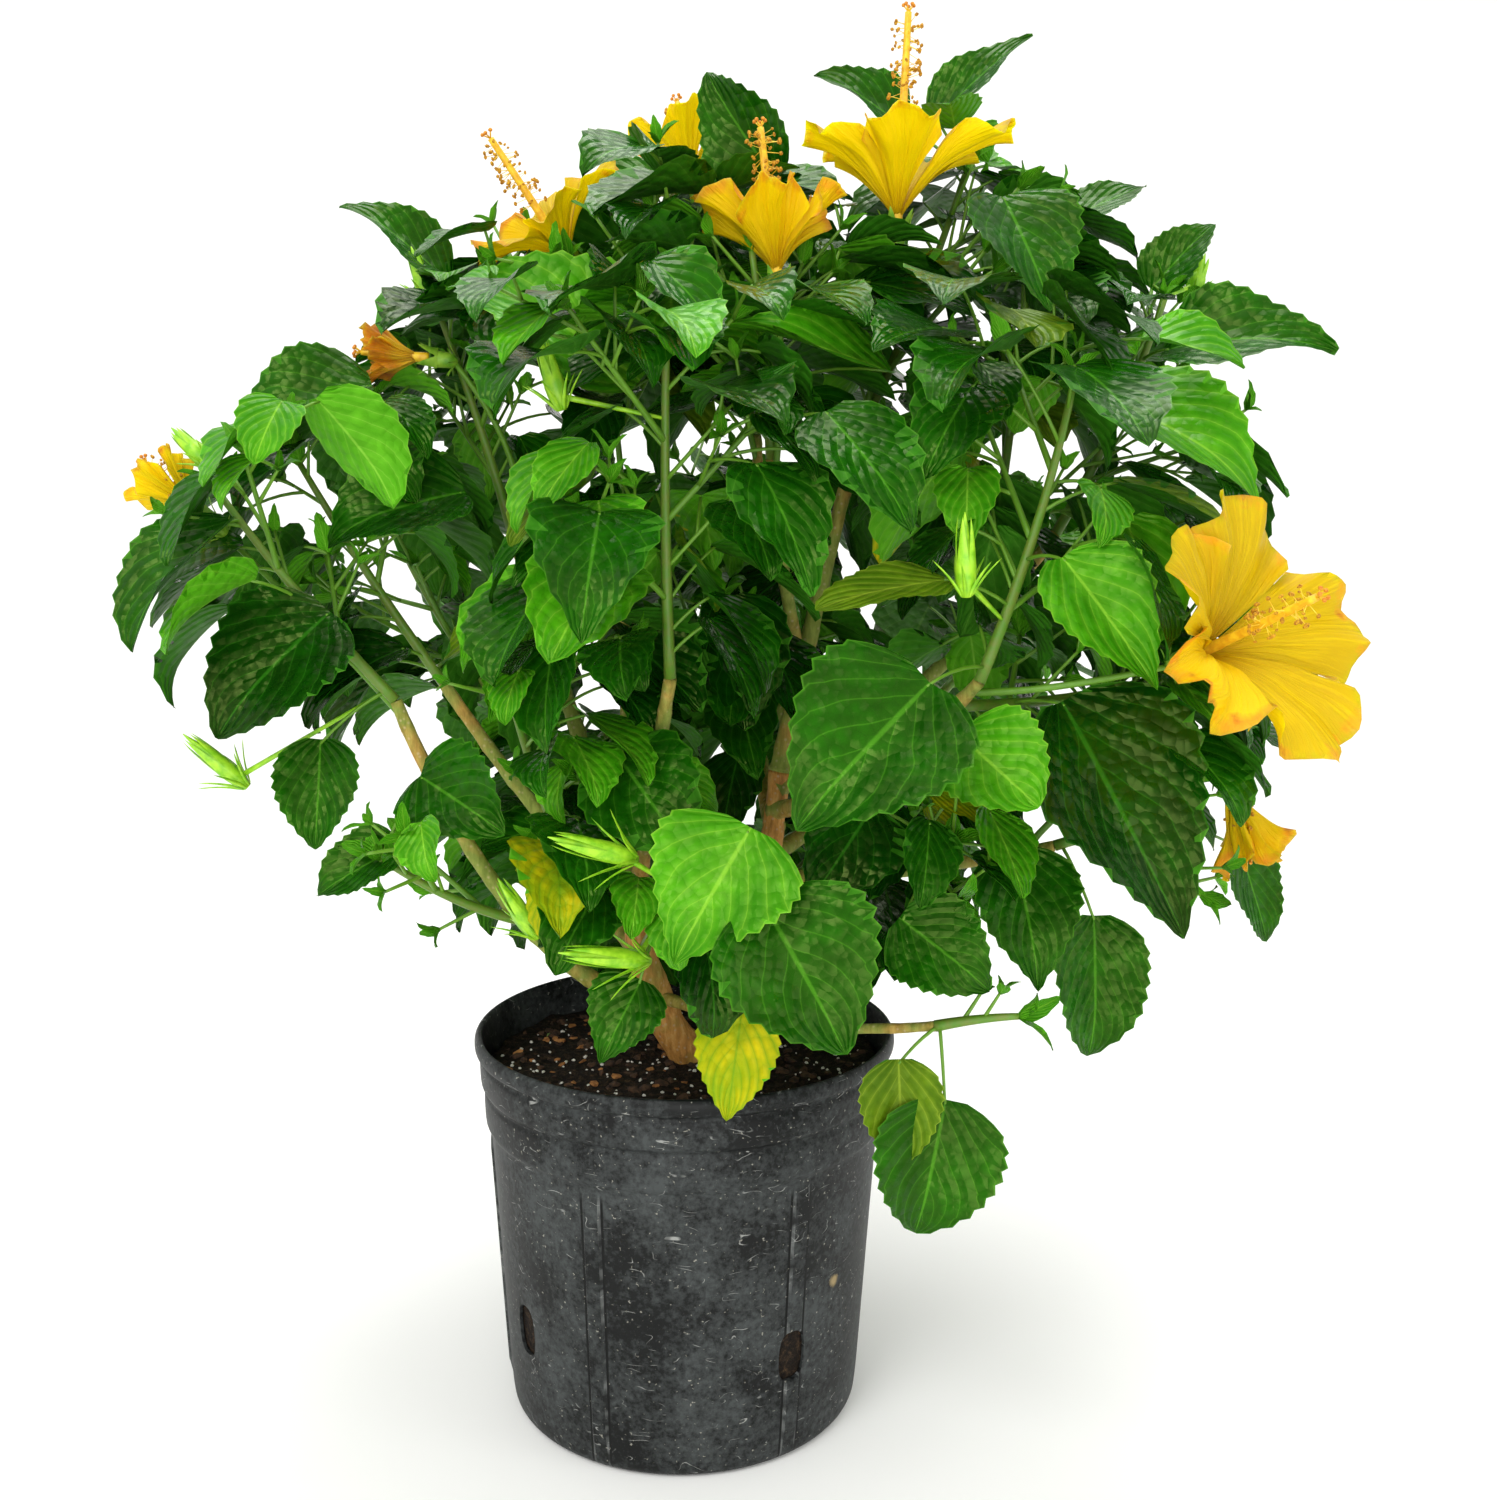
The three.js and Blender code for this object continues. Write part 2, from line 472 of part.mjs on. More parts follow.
// Above the ground, outside the pot and clear of its rim and soil.
function isOutsidePot(points) {
  return points.every(({ at, reach }) => {
    const out = Math.hypot(at.x, at.y);
    const below = out > POT.rim - RIM_MARGIN ? POT.height : SOIL.top;
    return out > POT.rim + reach || at.z > below + reach;
  });
}

// Within the crown's outline at its level.
function isInCrown(points) {
  return points.every(({ at }) => {
    const next = CROWN_OUTLINE.findIndex(([level]) => level > at.z);
    if (next < 1) return false;
    const [low, high] = [CROWN_OUTLINE[next - 1], CROWN_OUTLINE[next]];
    const share = (at.z - low[0]) / (high[0] - low[0]);
    const left = low[1] + (high[1] - low[1]) * share;
    const right = low[2] + (high[2] - low[2]) * share;
    const half = (right - left) / 2;
    const aside = (at.x - (left + right) / 2) / half;
    const deep = Math.abs(at.y - CROWN_FOOT.y) / (half * CROWN_DEPTH);
    return aside ** 2 + Math.max(0, deep - CROWN_FLAT) ** 2 < 1;
  });
}

// ---------------------------------------------------------------- growing

const limbRuns = {};

function growLimb(limb, start) {
  limbRuns[limb.name] = makeRun(start, V(limb.tip), limb.bow, limb.radii);
  taken.push(...twigPoints(limbRuns[limb.name], limb.name));
}

function growLimbs() {
  STEMS.forEach((stem) => growLimb(stem, V([...stem.root, SOIL.top + SEAT])));
  BOUGHS.forEach((bough) => growLimb(bough, pointOn(limbRuns[bough.on], bough.at)));
}

// The flowering twig of a flower, from its limb into the foot of the calyx.
function flowerTwig(flower) {
  const start = pointOn(limbRuns[flower.on], flower.at);
  const { aim, throat } = flowerAxes(flower);
  const foot = throat.addScaledVector(aim, FLOWER_TWIG.inCalyx - CALYX.below);
  const bow = aim.multiplyScalar(-foot.distanceTo(start) * FLOWER_TWIG.bow);
  return makeRun(start, foot, bow.toArray(), FLOWER_TWIG.radii);
}

function growFlowers() {
  for (const flower of FLOWERS) {
    const { aim, throat } = flowerAxes(flower);
    flower.twig = flowerTwig(flower);
    const top = throat.clone().addScaledVector(aim, flower.column);
    const column = straightRun(throat, top, [COLUMN.foot, COLUMN.brush]);
    taken.push(...twigPoints(flower.twig, flower.name, LEAVING.flower));
    taken.push(...twigPoints(column, flower.name), ...petalPoints(flower));
  }
}

// The green stem of a mass: on from its limb's tip, or out of the limb's side.
function growStem(mass) {
  const limb = limbRuns[mass.on];
  const start = pointOn(limb, mass.at);
  if (mass.at === 1) start.addScaledVector(aimOn(limb, 1), SEAT);
  const run = makeRun(start, V(mass.tip), mass.bow, STEM_RADII);
  mass.twigs = [{ run, from: 0 }];
  taken.push(...twigPoints(run, mass.name, LEAVING.stem));
}

const middleOf = (mass) => pointOn(mass.twigs[0].run, 0.6);
const outward = (point) => point.clone().sub(CROWN_FOOT).normalize();

// Side shoots leave the stem in turn round it and bend up to the light.
function growShoots(mass) {
  const stem = mass.twigs[0].run;
  for (let index = 0; index < mass.shoots; index += 1) {
    const share = SHOOT.first + (SHOOT.span * (index + 0.5)) / mass.shoots;
    const start = pointOn(stem, share);
    const aim = aimOn(stem, share);
    const length = mass.shoot * mass.dice.between(SHOOT.lengths);
    const turn = SPIRAL * index + mass.dice.between([0, 360]);
    for (let attempt = 0; attempt < SHOOT.tries; attempt += 1) {
      const side = squareTo(aim).applyAxisAngle(aim, radians(turn + SHOOT.retry * attempt));
      const way = aim.clone().multiplyScalar(SHOOT.onward).add(side)
        .addScaledVector(outward(start), SHOOT.outward).normalize().addScaledVector(UP, SHOOT.lift);
      const run = straightRun(start, start.clone().addScaledVector(way, length), SHOOT_RADII);
      const points = twigPoints(run, mass.name, LEAVING.shoot);
      if (isClear(points) && isOutsidePot(points)) {
        mass.twigs.push({ run, from: SHOOT.bare });
        taken.push(...points);
        break;
      }
    }
  }
}

// The stalk from the nearest twig of a mass to `base`, on under whatever it carries.
function stalkTo(mass, base, aim) {
  const steps = 20;
  let best = null;
  for (const { run } of mass.twigs) {
    for (let step = 1; step <= steps; step += 1) {
      const start = pointOn(run, step / steps);
      const cost = start.distanceTo(base) + Math.max(0, start.z - base.z) * 0.4;
      if (!best || cost < best.cost) best = { start, cost };
    }
  }
  return straightRun(best.start, base.clone().addScaledVector(aim, STALK_SUNK), STALK_RADII);
}

function growShowLeaves(mass) {
  for (const row of SHOW_LEAVES.filter((leaf) => leaf.mass === mass.name)) {
    const leaf = leafBetween(row);
    const stalk = stalkTo(mass, leaf.base, leaf.aim);
    mass.leaves.push({ leaf, stalk });
    taken.push(...bladePoints(leaf, mass.name), ...twigPoints(stalk, mass.name, LEAVING.stalk));
  }
  for (const row of BUDS.filter((bud) => bud.mass === mass.name)) {
    const bud = straightRun(V(row.base), V(row.tip), [BUD.radius, BUD.radius]);
    const stalk = stalkTo(mass, V(row.base), aimOn(bud, 0));
    mass.buds.push({ bud, stalk });
    taken.push(...twigPoints(bud, mass.name), ...twigPoints(stalk, mass.name, LEAVING.stalk));
  }
}

// One leaf's traits, thrown in a fixed order.
function throwLeaf(mass, start, isLast) {
  const { dice } = mass;
  const length = mass.leaf * dice.between(LEAF.lengths) * (isLast ? LEAF.youngest : 1);
  const petiole = length * dice.between(LEAF.petiole);
  const roll = dice.between(LEAF.roll);
  const droop = dice.between(LEAF.droop) - Math.max(0, start.z - LEAF.high) * LEAF.flatter;
  return { length, petiole, roll, droop, curl: dice.between(LEAF.curl) };
}

// A leaf that leaves a twig at `start`, `turn` degrees round it. The blade hangs out and down from
// its petiole's tip, flatter towards the crown's top, and looks up and out.
function placeLeaf(start, aim, turn, { length, petiole, roll, droop, curl }) {
  const side = squareTo(aim).applyAxisAngle(aim, radians(turn));
  const way = aim.clone().multiplyScalar(LEAF.onward).add(side)
    .addScaledVector(outward(start), LEAF.outward).addScaledVector(UP, LEAF.lift).normalize();
  const base = start.clone().addScaledVector(way, petiole);
  const level = way.addScaledVector(outward(base), LEAF.swing).setZ(0).normalize();
  const set = level.multiplyScalar(Math.cos(droop)).addScaledVector(UP, -Math.sin(droop));
  const face = UP.clone().addScaledVector(outward(base), LEAF.lean)
    .addScaledVector(new THREE.Vector3().crossVectors(set, UP), roll);
  const leaf = makeLeaf(base, set, face, length, length * LEAF_WIDTH, curl);
  const end = base.clone().addScaledVector(set, STALK_SUNK);
  return { leaf, stalk: straightRun(start, end, STALK_RADII) };
}

// Leaves leave each twig in turn round it.
function growLeaves(mass) {
  const sunk = Math.ceil((2 * STALK_SUNK) / TWIG_STEP);
  for (const { run, from } of mass.twigs) {
    const count = Math.round((run.length * (1 - from)) / mass.dice.between(LEAF.spacing));
    let turn = mass.dice.between([0, 360]);
    for (let index = 1; index <= count; index += 1) {
      const share = from + ((1 - from) * index) / count;
      const start = pointOn(run, share);
      const aim = aimOn(run, share);
      const traits = throwLeaf(mass, start, index === count);
      turn += SPIRAL;
      for (let attempt = 0; attempt < LEAF.tries; attempt += 1) {
        const petiole = traits.petiole * (1 - LEAF.shrink * attempt);
        const piece = placeLeaf(start, aim, turn + LEAF.retry * attempt, { ...traits, petiole });
        const blade = bladePoints(piece.leaf, mass.name);
        const stalk = twigPoints(piece.stalk, mass.name, LEAVING.stalk).slice(0, -sunk);
        const inSpace = blade.every(({ at }) => at.distanceTo(middleOf(mass)) < mass.space);
        const all = [...blade, ...stalk];
        if (inSpace && isInCrown(blade) && isOutsidePot(all) && isClear(all)) {
          mass.leaves.push(piece);
          taken.push(...all);
          break;
        }
      }
    }
  }
}

function growMasses() {
  MASSES.forEach((mass, index) => {
    mass.dice = new Dice(index + 1);
    mass.leaves = [];
    mass.buds = [];
    growStem(mass);
  });
  MASSES.forEach(growShowLeaves);
  MASSES.forEach(growShoots);
  MASSES.forEach(growLeaves);
}

// ---------------------------------------------------------------- solids

function solid(geometry) {
  geometry.deleteAttribute('normal');
  geometry.deleteAttribute('uv');
  const merged = mergeVertices(geometry, 1e-4);
  return new wasm.Manifold(new wasm.Mesh({
    numProp: 3,
    vertProperties: merged.attributes.position.array,
    triVerts: Uint32Array.from(merged.index.array),
  }));
}

// The largest of the pieces that a join or cut leaves: loose scraps and sealed hollows go.
function mainPiece(body) {
  return body.decompose().reduce((best, piece) => (piece.volume() > best.volume() ? piece : best));
}

const shrub = new THREE.Group();

function addNode(name, body, color, roughness) {
  const { vertProperties, triVerts } = mainPiece(body).simplify(SMALLEST_EDGE).getMesh();
  const geometry = new THREE.BufferGeometry();
  geometry.setAttribute('position', new THREE.BufferAttribute(vertProperties, 3));
  geometry.setIndex(new THREE.BufferAttribute(triVerts, 1));
  geometry.computeVertexNormals();
  const mesh = new THREE.Mesh(geometry, new THREE.MeshStandardMaterial({ color, roughness }));
  mesh.name = name;
  shrub.add(mesh);
}

// A closed solid turned about Z from rows of distance out and level.
function turnedSolid(rows, sides) {
  const lathe = new THREE.LatheGeometry(rows.map(([out, up]) => new THREE.Vector2(out, up)), sides);
  return solid(lathe.rotateX(Math.PI / 2));
}

// ---------------------------------------------------------------- pot and potting mix

// The blow-moulded wall: a flat foot, a rounded heel, a straight tapered side and a banded rim.
function potBody() {
  const { height, foot, waist, heel, shoulder, shoulderAt, rim } = POT;
  return turnedSolid([
    [0, 0], [foot, 0], [waist, heel], [shoulder, shoulderAt], [shoulder + 3, shoulderAt + 4],
    [shoulder + 4, shoulderAt + 23], [rim - 4, height - 32], [rim - 3, height - 14],
    [rim, height - 10], [rim - 0.6, height - 2], [rim - 3, height], [rim - 5.2, height - 4],
    [shoulder + 1, shoulderAt + 6], [shoulder - POT_WALL, shoulderAt - 1],
    [waist - POT_WALL, heel + 1], [foot - 1, SOIL.floor - 0.2], [0, SOIL.floor - 0.2],
  ], POT_SIDES);
}

function wallRadius(level) {
  const share = (level - POT.heel) / (POT.shoulderAt - POT.heel);
  return POT.waist + (POT.shoulder - POT.waist) * share;
}

// A raised rib that runs up the wall.
function ribSolid(degrees) {
  const { width, proud, sunk, bevel, from, to } = RIB;
  const [low, high] = [wallRadius(from), wallRadius(to)];
  const outline = new THREE.Shape([
    new THREE.Vector2(low - sunk, from), new THREE.Vector2(low + proud, from + bevel),
    new THREE.Vector2(high + proud, to - bevel), new THREE.Vector2(high - sunk, to),
  ]);
  const bar = new THREE.ExtrudeGeometry(outline, { depth: width, bevelEnabled: false });
  bar.rotateX(Math.PI / 2);
  bar.translate(0, width / 2, 0);
  return solid(bar.rotateZ(radians(degrees)));
}

// The cutter for a drain hole near the foot of the wall.
function drainSolid(degrees) {
  const { width, height, level, depth, sides } = DRAIN;
  const cutter = new THREE.CylinderGeometry(width / 2, width / 2, depth, sides);
  cutter.scale(1, 1, height / width);
  cutter.rotateZ(Math.PI / 2);
  cutter.translate(wallRadius(level), 0, level);
  return solid(cutter.rotateZ(radians(degrees)));
}

function addPot() {
  let pot = potBody();
  for (let index = 0; index < RIB.count; index += 1) {
    pot = pot.add(ribSolid(RIB.first + (360 / RIB.count) * index));
  }
  for (let index = 0; index < DRAIN.count; index += 1) {
    pot = pot.subtract(drainSolid(DRAIN.first + (360 / DRAIN.count) * index));
  }
  addNode('pot', pot, COLOURS.pot, 0.6);
}

function addSoil() {
  const foot = SOIL.floor + SEAT;
  const inner = (level) => wallRadius(level) - POT_WALL - SEAT - SOIL.clear;
  const body = turnedSolid([
    [0, foot], [POT.foot - 2, foot], [inner(POT.heel + 4), POT.heel + 4],
    [inner(POT.shoulderAt - 1), POT.shoulderAt - 1], [POT.shoulder + SOIL.clear, SOIL.top],
    [0, SOIL.top],
  ], POT_SIDES);
  addNode('soil', body, COLOURS.soil, 0.95);
}

// ---------------------------------------------------------------- trunk, boughs, masses, flowers

// Limbs and flowers grown by the seat clearance, to cut what comes near them with.
const cutters = {};

function addLimb(limb, sides, steps, color) {
  const run = limbRuns[limb.name];
  const clear = solid(runGeometry(run, sides, steps, SEAT, limb.flare));
  const earlier = Object.values(cutters);
  let body = solid(runGeometry(run, sides, steps, 0, limb.flare));
  if (limb.root) {
    const ground = new THREE.BoxGeometry(60, 60, 20).translate(...limb.root, SOIL.top - 10 + SEAT);
    body = body.subtract(solid(ground));
  }
  body = earlier.reduce((left, cutter) => left.subtract(cutter), body);
  addNode(limb.name, body, color, 0.8);
  cutters[limb.name] = clear;
}

function budSolid(bud) {
  const spindle = new THREE.SphereGeometry(1, BUD.sides, BUD.rings);
  spindle.scale(BUD.radius, bud.length / 2 + BUD.overlap, BUD.radius);
  spindle.applyQuaternion(new THREE.Quaternion().setFromUnitVectors(V([0, 1, 0]), aimOn(bud, 0)));
  return solid(spindle.translate(...pointOn(bud, 0.45)));
}

function addMass(mass) {
  const parts = [
    ...mass.twigs.map(({ run }, index) => solid(runGeometry(run, TWIG_SIDES, index ? 1 : 2))),
    ...mass.leaves.map((piece) => solid(leafGeometry(piece))),
    ...mass.buds.map(({ bud }) => budSolid(bud)),
    ...mass.buds.map(({ stalk }) => solid(runGeometry(stalk, TWIG_SIDES, 1))),
  ];
  const near = [mass.on, ...FLOWERS.map(({ name }) => name)].map((name) => cutters[name]);
  const whole = near.reduce((left, cutter) => left.subtract(cutter), wasm.Manifold.union(parts));
  addNode(mass.name, whole, COLOURS.leaf, 0.45);
}

function addFlower(flower) {
  const body = (grown) => {
    const twig = solid(runGeometry(flower.twig, TWIG_SIDES, 3, grown));
    return twig.add(solid(flowerGeometry(flower, grown)));
  };
  const color = flower.stage === 'spent' ? COLOURS.petalSpent : COLOURS.petal;
  addNode(flower.name, body(0).subtract(cutters[flower.on]), color, 0.55);
  cutters[flower.name] = body(SEAT);
}

growLimbs();
growFlowers();
growMasses();
addPot();
addSoil();
STEMS.forEach((stem) => addLimb(stem, STEM_SIDES, STEM_STEPS, COLOURS.wood));
BOUGHS.forEach((bough) => addLimb(bough, LIMB_SIDES, LIMB_STEPS, COLOURS.greenwood));
FLOWERS.forEach(addFlower);
MASSES.forEach(addMass);

export default shrub;
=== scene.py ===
# %% [markdown]
# # A potted hibiscus, leaf by leaf
#
# The CAD model already holds the true shape of this shrub: two stems, their boughs, masses of
# foliage, eight flowers and the black nursery pot. Here each plain solid is replaced by what a
# visitor to a garden centre would see: toothed glossy leaves, ruffled petals, ridged bark, loose
# potting mix and scuffed plastic.
#
# Everything is worked out in millimetres, like the CAD model, and is turned into metres when a
# mesh is made.

import math

import bpy
import numpy as np
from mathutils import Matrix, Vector, noise


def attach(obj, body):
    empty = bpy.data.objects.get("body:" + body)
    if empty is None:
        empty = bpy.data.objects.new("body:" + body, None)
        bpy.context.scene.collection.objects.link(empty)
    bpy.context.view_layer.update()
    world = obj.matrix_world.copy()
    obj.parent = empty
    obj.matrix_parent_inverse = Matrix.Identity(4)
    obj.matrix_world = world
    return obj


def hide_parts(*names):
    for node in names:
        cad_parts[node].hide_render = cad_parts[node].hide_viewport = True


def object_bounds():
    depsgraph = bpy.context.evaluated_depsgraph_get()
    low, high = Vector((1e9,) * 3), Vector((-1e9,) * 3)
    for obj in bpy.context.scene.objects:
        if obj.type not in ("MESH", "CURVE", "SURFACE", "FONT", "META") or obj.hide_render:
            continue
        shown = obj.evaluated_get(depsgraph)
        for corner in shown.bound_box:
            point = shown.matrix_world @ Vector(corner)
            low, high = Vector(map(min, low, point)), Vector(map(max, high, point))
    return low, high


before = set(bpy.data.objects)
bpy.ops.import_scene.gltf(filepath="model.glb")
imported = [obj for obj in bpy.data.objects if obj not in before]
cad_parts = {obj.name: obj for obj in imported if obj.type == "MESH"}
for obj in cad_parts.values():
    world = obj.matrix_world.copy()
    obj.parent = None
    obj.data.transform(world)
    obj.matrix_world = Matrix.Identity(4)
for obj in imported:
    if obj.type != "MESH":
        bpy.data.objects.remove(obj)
cad_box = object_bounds()
MM = 0.001
print("CAD nodes:", len(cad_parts))

# %% [markdown]
# ## Camera, floor and light
#
# The camera stands at about the height of the crown's middle and looks a little down, so that the
# soil in the pot shows. The lens is a normal one for a full-frame body. The plant stands on a
# seamless white sweep between four large soft boxes: a key light above and in front, a weak one
# at the side, one low in front that opens the shade under the leaves, and one overhead. A bright
# room fills in the rest.

# %% Camera
CAMERA_AT = (0.038, -0.956, 0.567)
CAMERA_PITCH = 9.0  # degrees down
CAMERA_ROLL = -0.46
LENS_MM = 37.9
SENSOR_MM = 36  # the width of a full-frame sensor

camera = bpy.data.objects.new("camera", bpy.data.cameras.new("camera"))
camera.data.sensor_width = SENSOR_MM
camera.data.lens = LENS_MM
camera.data.clip_start = 0.01
camera.location = CAMERA_AT
camera.rotation_mode = "XYZ"
camera.rotation_euler = (math.radians(90 - CAMERA_PITCH), math.radians(CAMERA_ROLL), 0)
bpy.context.scene.collection.objects.link(camera)
bpy.context.scene.camera = camera
# With this view transform a colour shows as its hex value says, and yellow petals stay clear.
bpy.context.scene.view_settings.view_transform = "Standard"
print("camera:", LENS_MM, "mm lens at", CAMERA_AT, "m,", CAMERA_PITCH, "degrees down")


# %% Colours, nodes and materials
def linear(code):
    """An sRGB hex colour as the linear colour that shaders want."""
    values = [int(code[i:i + 2], 16) / 255 for i in (1, 3, 5)]
    values = [v / 12.92 if v <= 0.04045 else ((v + 0.055) / 1.055) ** 2.4 for v in values]
    return (*values, 1.0)


def add(tree, kind, inputs=None, stops=None, **settings):
    """Adds a node with its settings and links, and gives back its first output in use.

    `kind` is a node's type name, without "ShaderNode" for a shader node. `inputs` maps a socket's
    name or number to a socket, a value or a hex colour. `stops` are a colour ramp's (position,
    hex colour) pairs.
    """
    made = tree.nodes.new(kind if "Node" in kind else "ShaderNode" + kind)
    for name, value in settings.items():
        setattr(made, name, value)
    for number, (position, code) in enumerate(stops or []):
        ramp = made.color_ramp.elements
        element = ramp[number] if number < len(ramp) else ramp.new(position)
        element.position, element.color = position, linear(code)
    for key, value in (inputs or {}).items():
        if isinstance(value, bpy.types.NodeSocket):
            tree.links.new(value, made.inputs[key])
        else:
            made.inputs[key].default_value = linear(value) if isinstance(value, str) else value
    return next((socket for socket in made.outputs if socket.enabled), None)


def new_material(name, **values):
    """A material with its tree and Principled shader. `values` go onto the shader's own sockets."""
    material = bpy.data.materials.new(name)
    material.use_nodes = True
    shader = material.node_tree.nodes["Principled BSDF"]
    for key, value in values.items():
        value = linear(value) if isinstance(value, str) else value
        shader.inputs[key.replace("_", " ")].default_value = value
    return material, material.node_tree, shader


def finish_surface(tree, shader, colour, height, relief, strength):
    """Links a colour pattern, and a height pattern as a relief of so many mm, to the shader."""
    bump = add(tree, "Bump", {"Height": height, "Distance": relief * MM, "Strength": strength})
    tree.links.new(colour, shader.inputs["Base Color"])
    tree.links.new(bump, shader.inputs["Normal"])


def object_place(tree):
    """Where a point lies in the object's own metres, which patterns are set out by."""
    return tree.nodes.new("ShaderNodeTexCoord").outputs["Object"]


def drifting(name, low, high, scale, relief, **values):
    """A matt or satin material whose colour drifts between two tones, with a little relief.

    Its grains are about 1/`scale` metres across and `relief` mm high. They are drawn coarser than
    the real ones, which no view would show, so that no small part looks like flat plastic.
    """
    material, tree, shader = new_material(name, **values)
    grain = add(tree, "TexNoise", {"Vector": object_place(tree), "Scale": scale, "Detail": 3.0})
    colour = add(tree, "ValToRGB", {0: grain}, stops=[(0.35, low), (0.65, high)])
    finish_surface(tree, shader, colour, grain, relief, 0.7)
    return material


# %% Floor and light
def studio_sweep():
    """A floor that curves up into a background, as one sheet of paper does. Sizes in metres."""
    half, front, back, rise, bend, steps = 3.0, -3.0, 2.6, 3.0, 0.9, 12
    profile = [(front, 0.0), (back - bend, 0.0)]
    for step in range(1, steps + 1):
        angle = math.radians(90 * step / steps)
        profile.append((back - bend + bend * math.sin(angle), bend - bend * math.cos(angle)))
    profile.append((back, rise))
    points = [(side * half, y, z) for y, z in profile for side in (-1, 1)]
    faces = [(2 * i, 2 * i + 1, 2 * i + 3, 2 * i + 2) for i in range(len(profile) - 1)]
    mesh = bpy.data.meshes.new("studio_sweep")
    mesh.from_pydata(points, [], faces)
    mesh.shade_smooth()
    return bpy.data.objects.new("studio_sweep", mesh)


sweep = studio_sweep()
bpy.context.scene.collection.objects.link(sweep)
# Matt coated paper, off a roll: it takes a soft shadow and shows no glint of the lights.
paper, _, _ = new_material("matt_white_paper", Base_Color="#fcfcfb", Roughness=0.9,
                           Specular_IOR_Level=0.2)
sweep.data.materials.append(paper)


def soft_box(name, at, target, size, watts):
    """A square area light that looks at `target`."""
    light = bpy.data.objects.new(name, bpy.data.lights.new(name, "AREA"))
    light.data.size = size
    light.data.energy = watts
    light.location = at
    light.rotation_euler = (Vector(target) - Vector(at)).to_track_quat("-Z", "Y").to_euler()
    bpy.context.scene.collection.objects.link(light)


CROWN_MIDDLE = (0.02, 0.0, 0.5)
soft_box("key_light", (-0.9, -1.7, 2.1), CROWN_MIDDLE, 1.1, 27)
soft_box("side_light", (1.8, -0.9, 1.2), CROWN_MIDDLE, 1.0, 6)
soft_box("front_fill", (0.1, -2.2, 0.35), CROWN_MIDDLE, 1.3, 22)
soft_box("top_light", (0.1, 0.5, 2.4), CROWN_MIDDLE, 1.4, 26)
room = bpy.data.worlds.new("bright_room")
room.use_nodes = True
walls = room.node_tree.nodes["Background"]
walls.inputs["Color"].default_value = linear("#fbfbf6")
walls.inputs["Strength"].default_value = 0.86
bpy.context.scene.world = room
print("four soft boxes and a bright room light the sweep")

# %% [markdown]
# ## The plant's plan
#
# A shrub is a set of numbers long before it is a mesh. These tables say where each limb leaves
# the one below it, where each mass of foliage grows, and which leaves, buds and flowers catch the
# eye. The CAD model grows from the same rows, so the dressed plant fills the same space.

# %% Tables
def table(fields, rows):
    """Each row as a dictionary with the named fields."""
    return [dict(zip(fields, row)) for row in rows]


# The two stems that stand on the soil: foot, tip, how far the middle is drawn aside, radii at foot
# and tip, and how much the foot widens.
STEMS = table(["name", "root", "tip", "bow", "radii", "flare"], [
    ["trunk", [6, -5], [-29, -20, 338], [-20, -4, -12], [11.5, 8.2], 1.35],
    ["second_stem", [27, 10], [58, 17, 400], [8, 2, 0], [8.6, 6.4], 1.3],
])

# Boughs: the limb that each leaves and at what share of its length, tip, bow and radii.
BOUGHS = table(["name", "on", "at", "tip", "bow", "radii"], [
    ["bough_left_low", "trunk", 0.36, [-163, -62, 452], [-10, -18, -70], [6, 3.6]],
    ["bough_left_high", "trunk", 0.8, [-148, 2, 455], [-4, -2, -8], [5.6, 3.5]],
    ["bough_upper_left", "trunk", 0.9, [-112, 50, 545], [0, 12, -10], [5.8, 3.4]],
    ["bough_upper_mid", "trunk", 1, [-48, 42, 570], [2, 8, 0], [6, 3.4]],
    ["bough_centre", "trunk", 0.93, [-5, -96, 470], [-2, -6, -8], [5.4, 3.6]],
    ["bough_back_left", "trunk", 0.62, [-128, 130, 420], [-6, 8, -24], [5.6, 3.4]],
    ["bough_low_front", "trunk", 0.42, [142, -122, 282], [0, -14, -12], [4, 2.6]],
    ["bough_leader", "second_stem", 1, [104, 10, 610], [-2, 6, 0], [6.2, 3.6]],
    ["bough_right_front", "second_stem", 0.86, [158, -138, 474], [4, -8, -22], [5.6, 3.6]],
    ["bough_right_high", "second_stem", 0.94, [226, 24, 548], [6, 2, -30], [5.6, 3.4]],
    ["bough_right_low", "second_stem", 0.62, [218, -50, 368], [0, -4, -8], [5, 3.2]],
    ["bough_back_right", "second_stem", 0.7, [168, 128, 432], [4, 8, -22], [5.6, 3.4]],
    ["bough_back", "second_stem", 0.8, [34, 150, 478], [-2, 10, -20], [5.6, 3.4]],
    ["bough_top_front", "bough_leader", 0.3, [50, -40, 590], [-4, -10, -6], [4.4, 3]],
    ["bough_back_top", "bough_leader", 0.12, [42, 92, 608], [-6, 14, -8], [4.8, 3.2]],
])

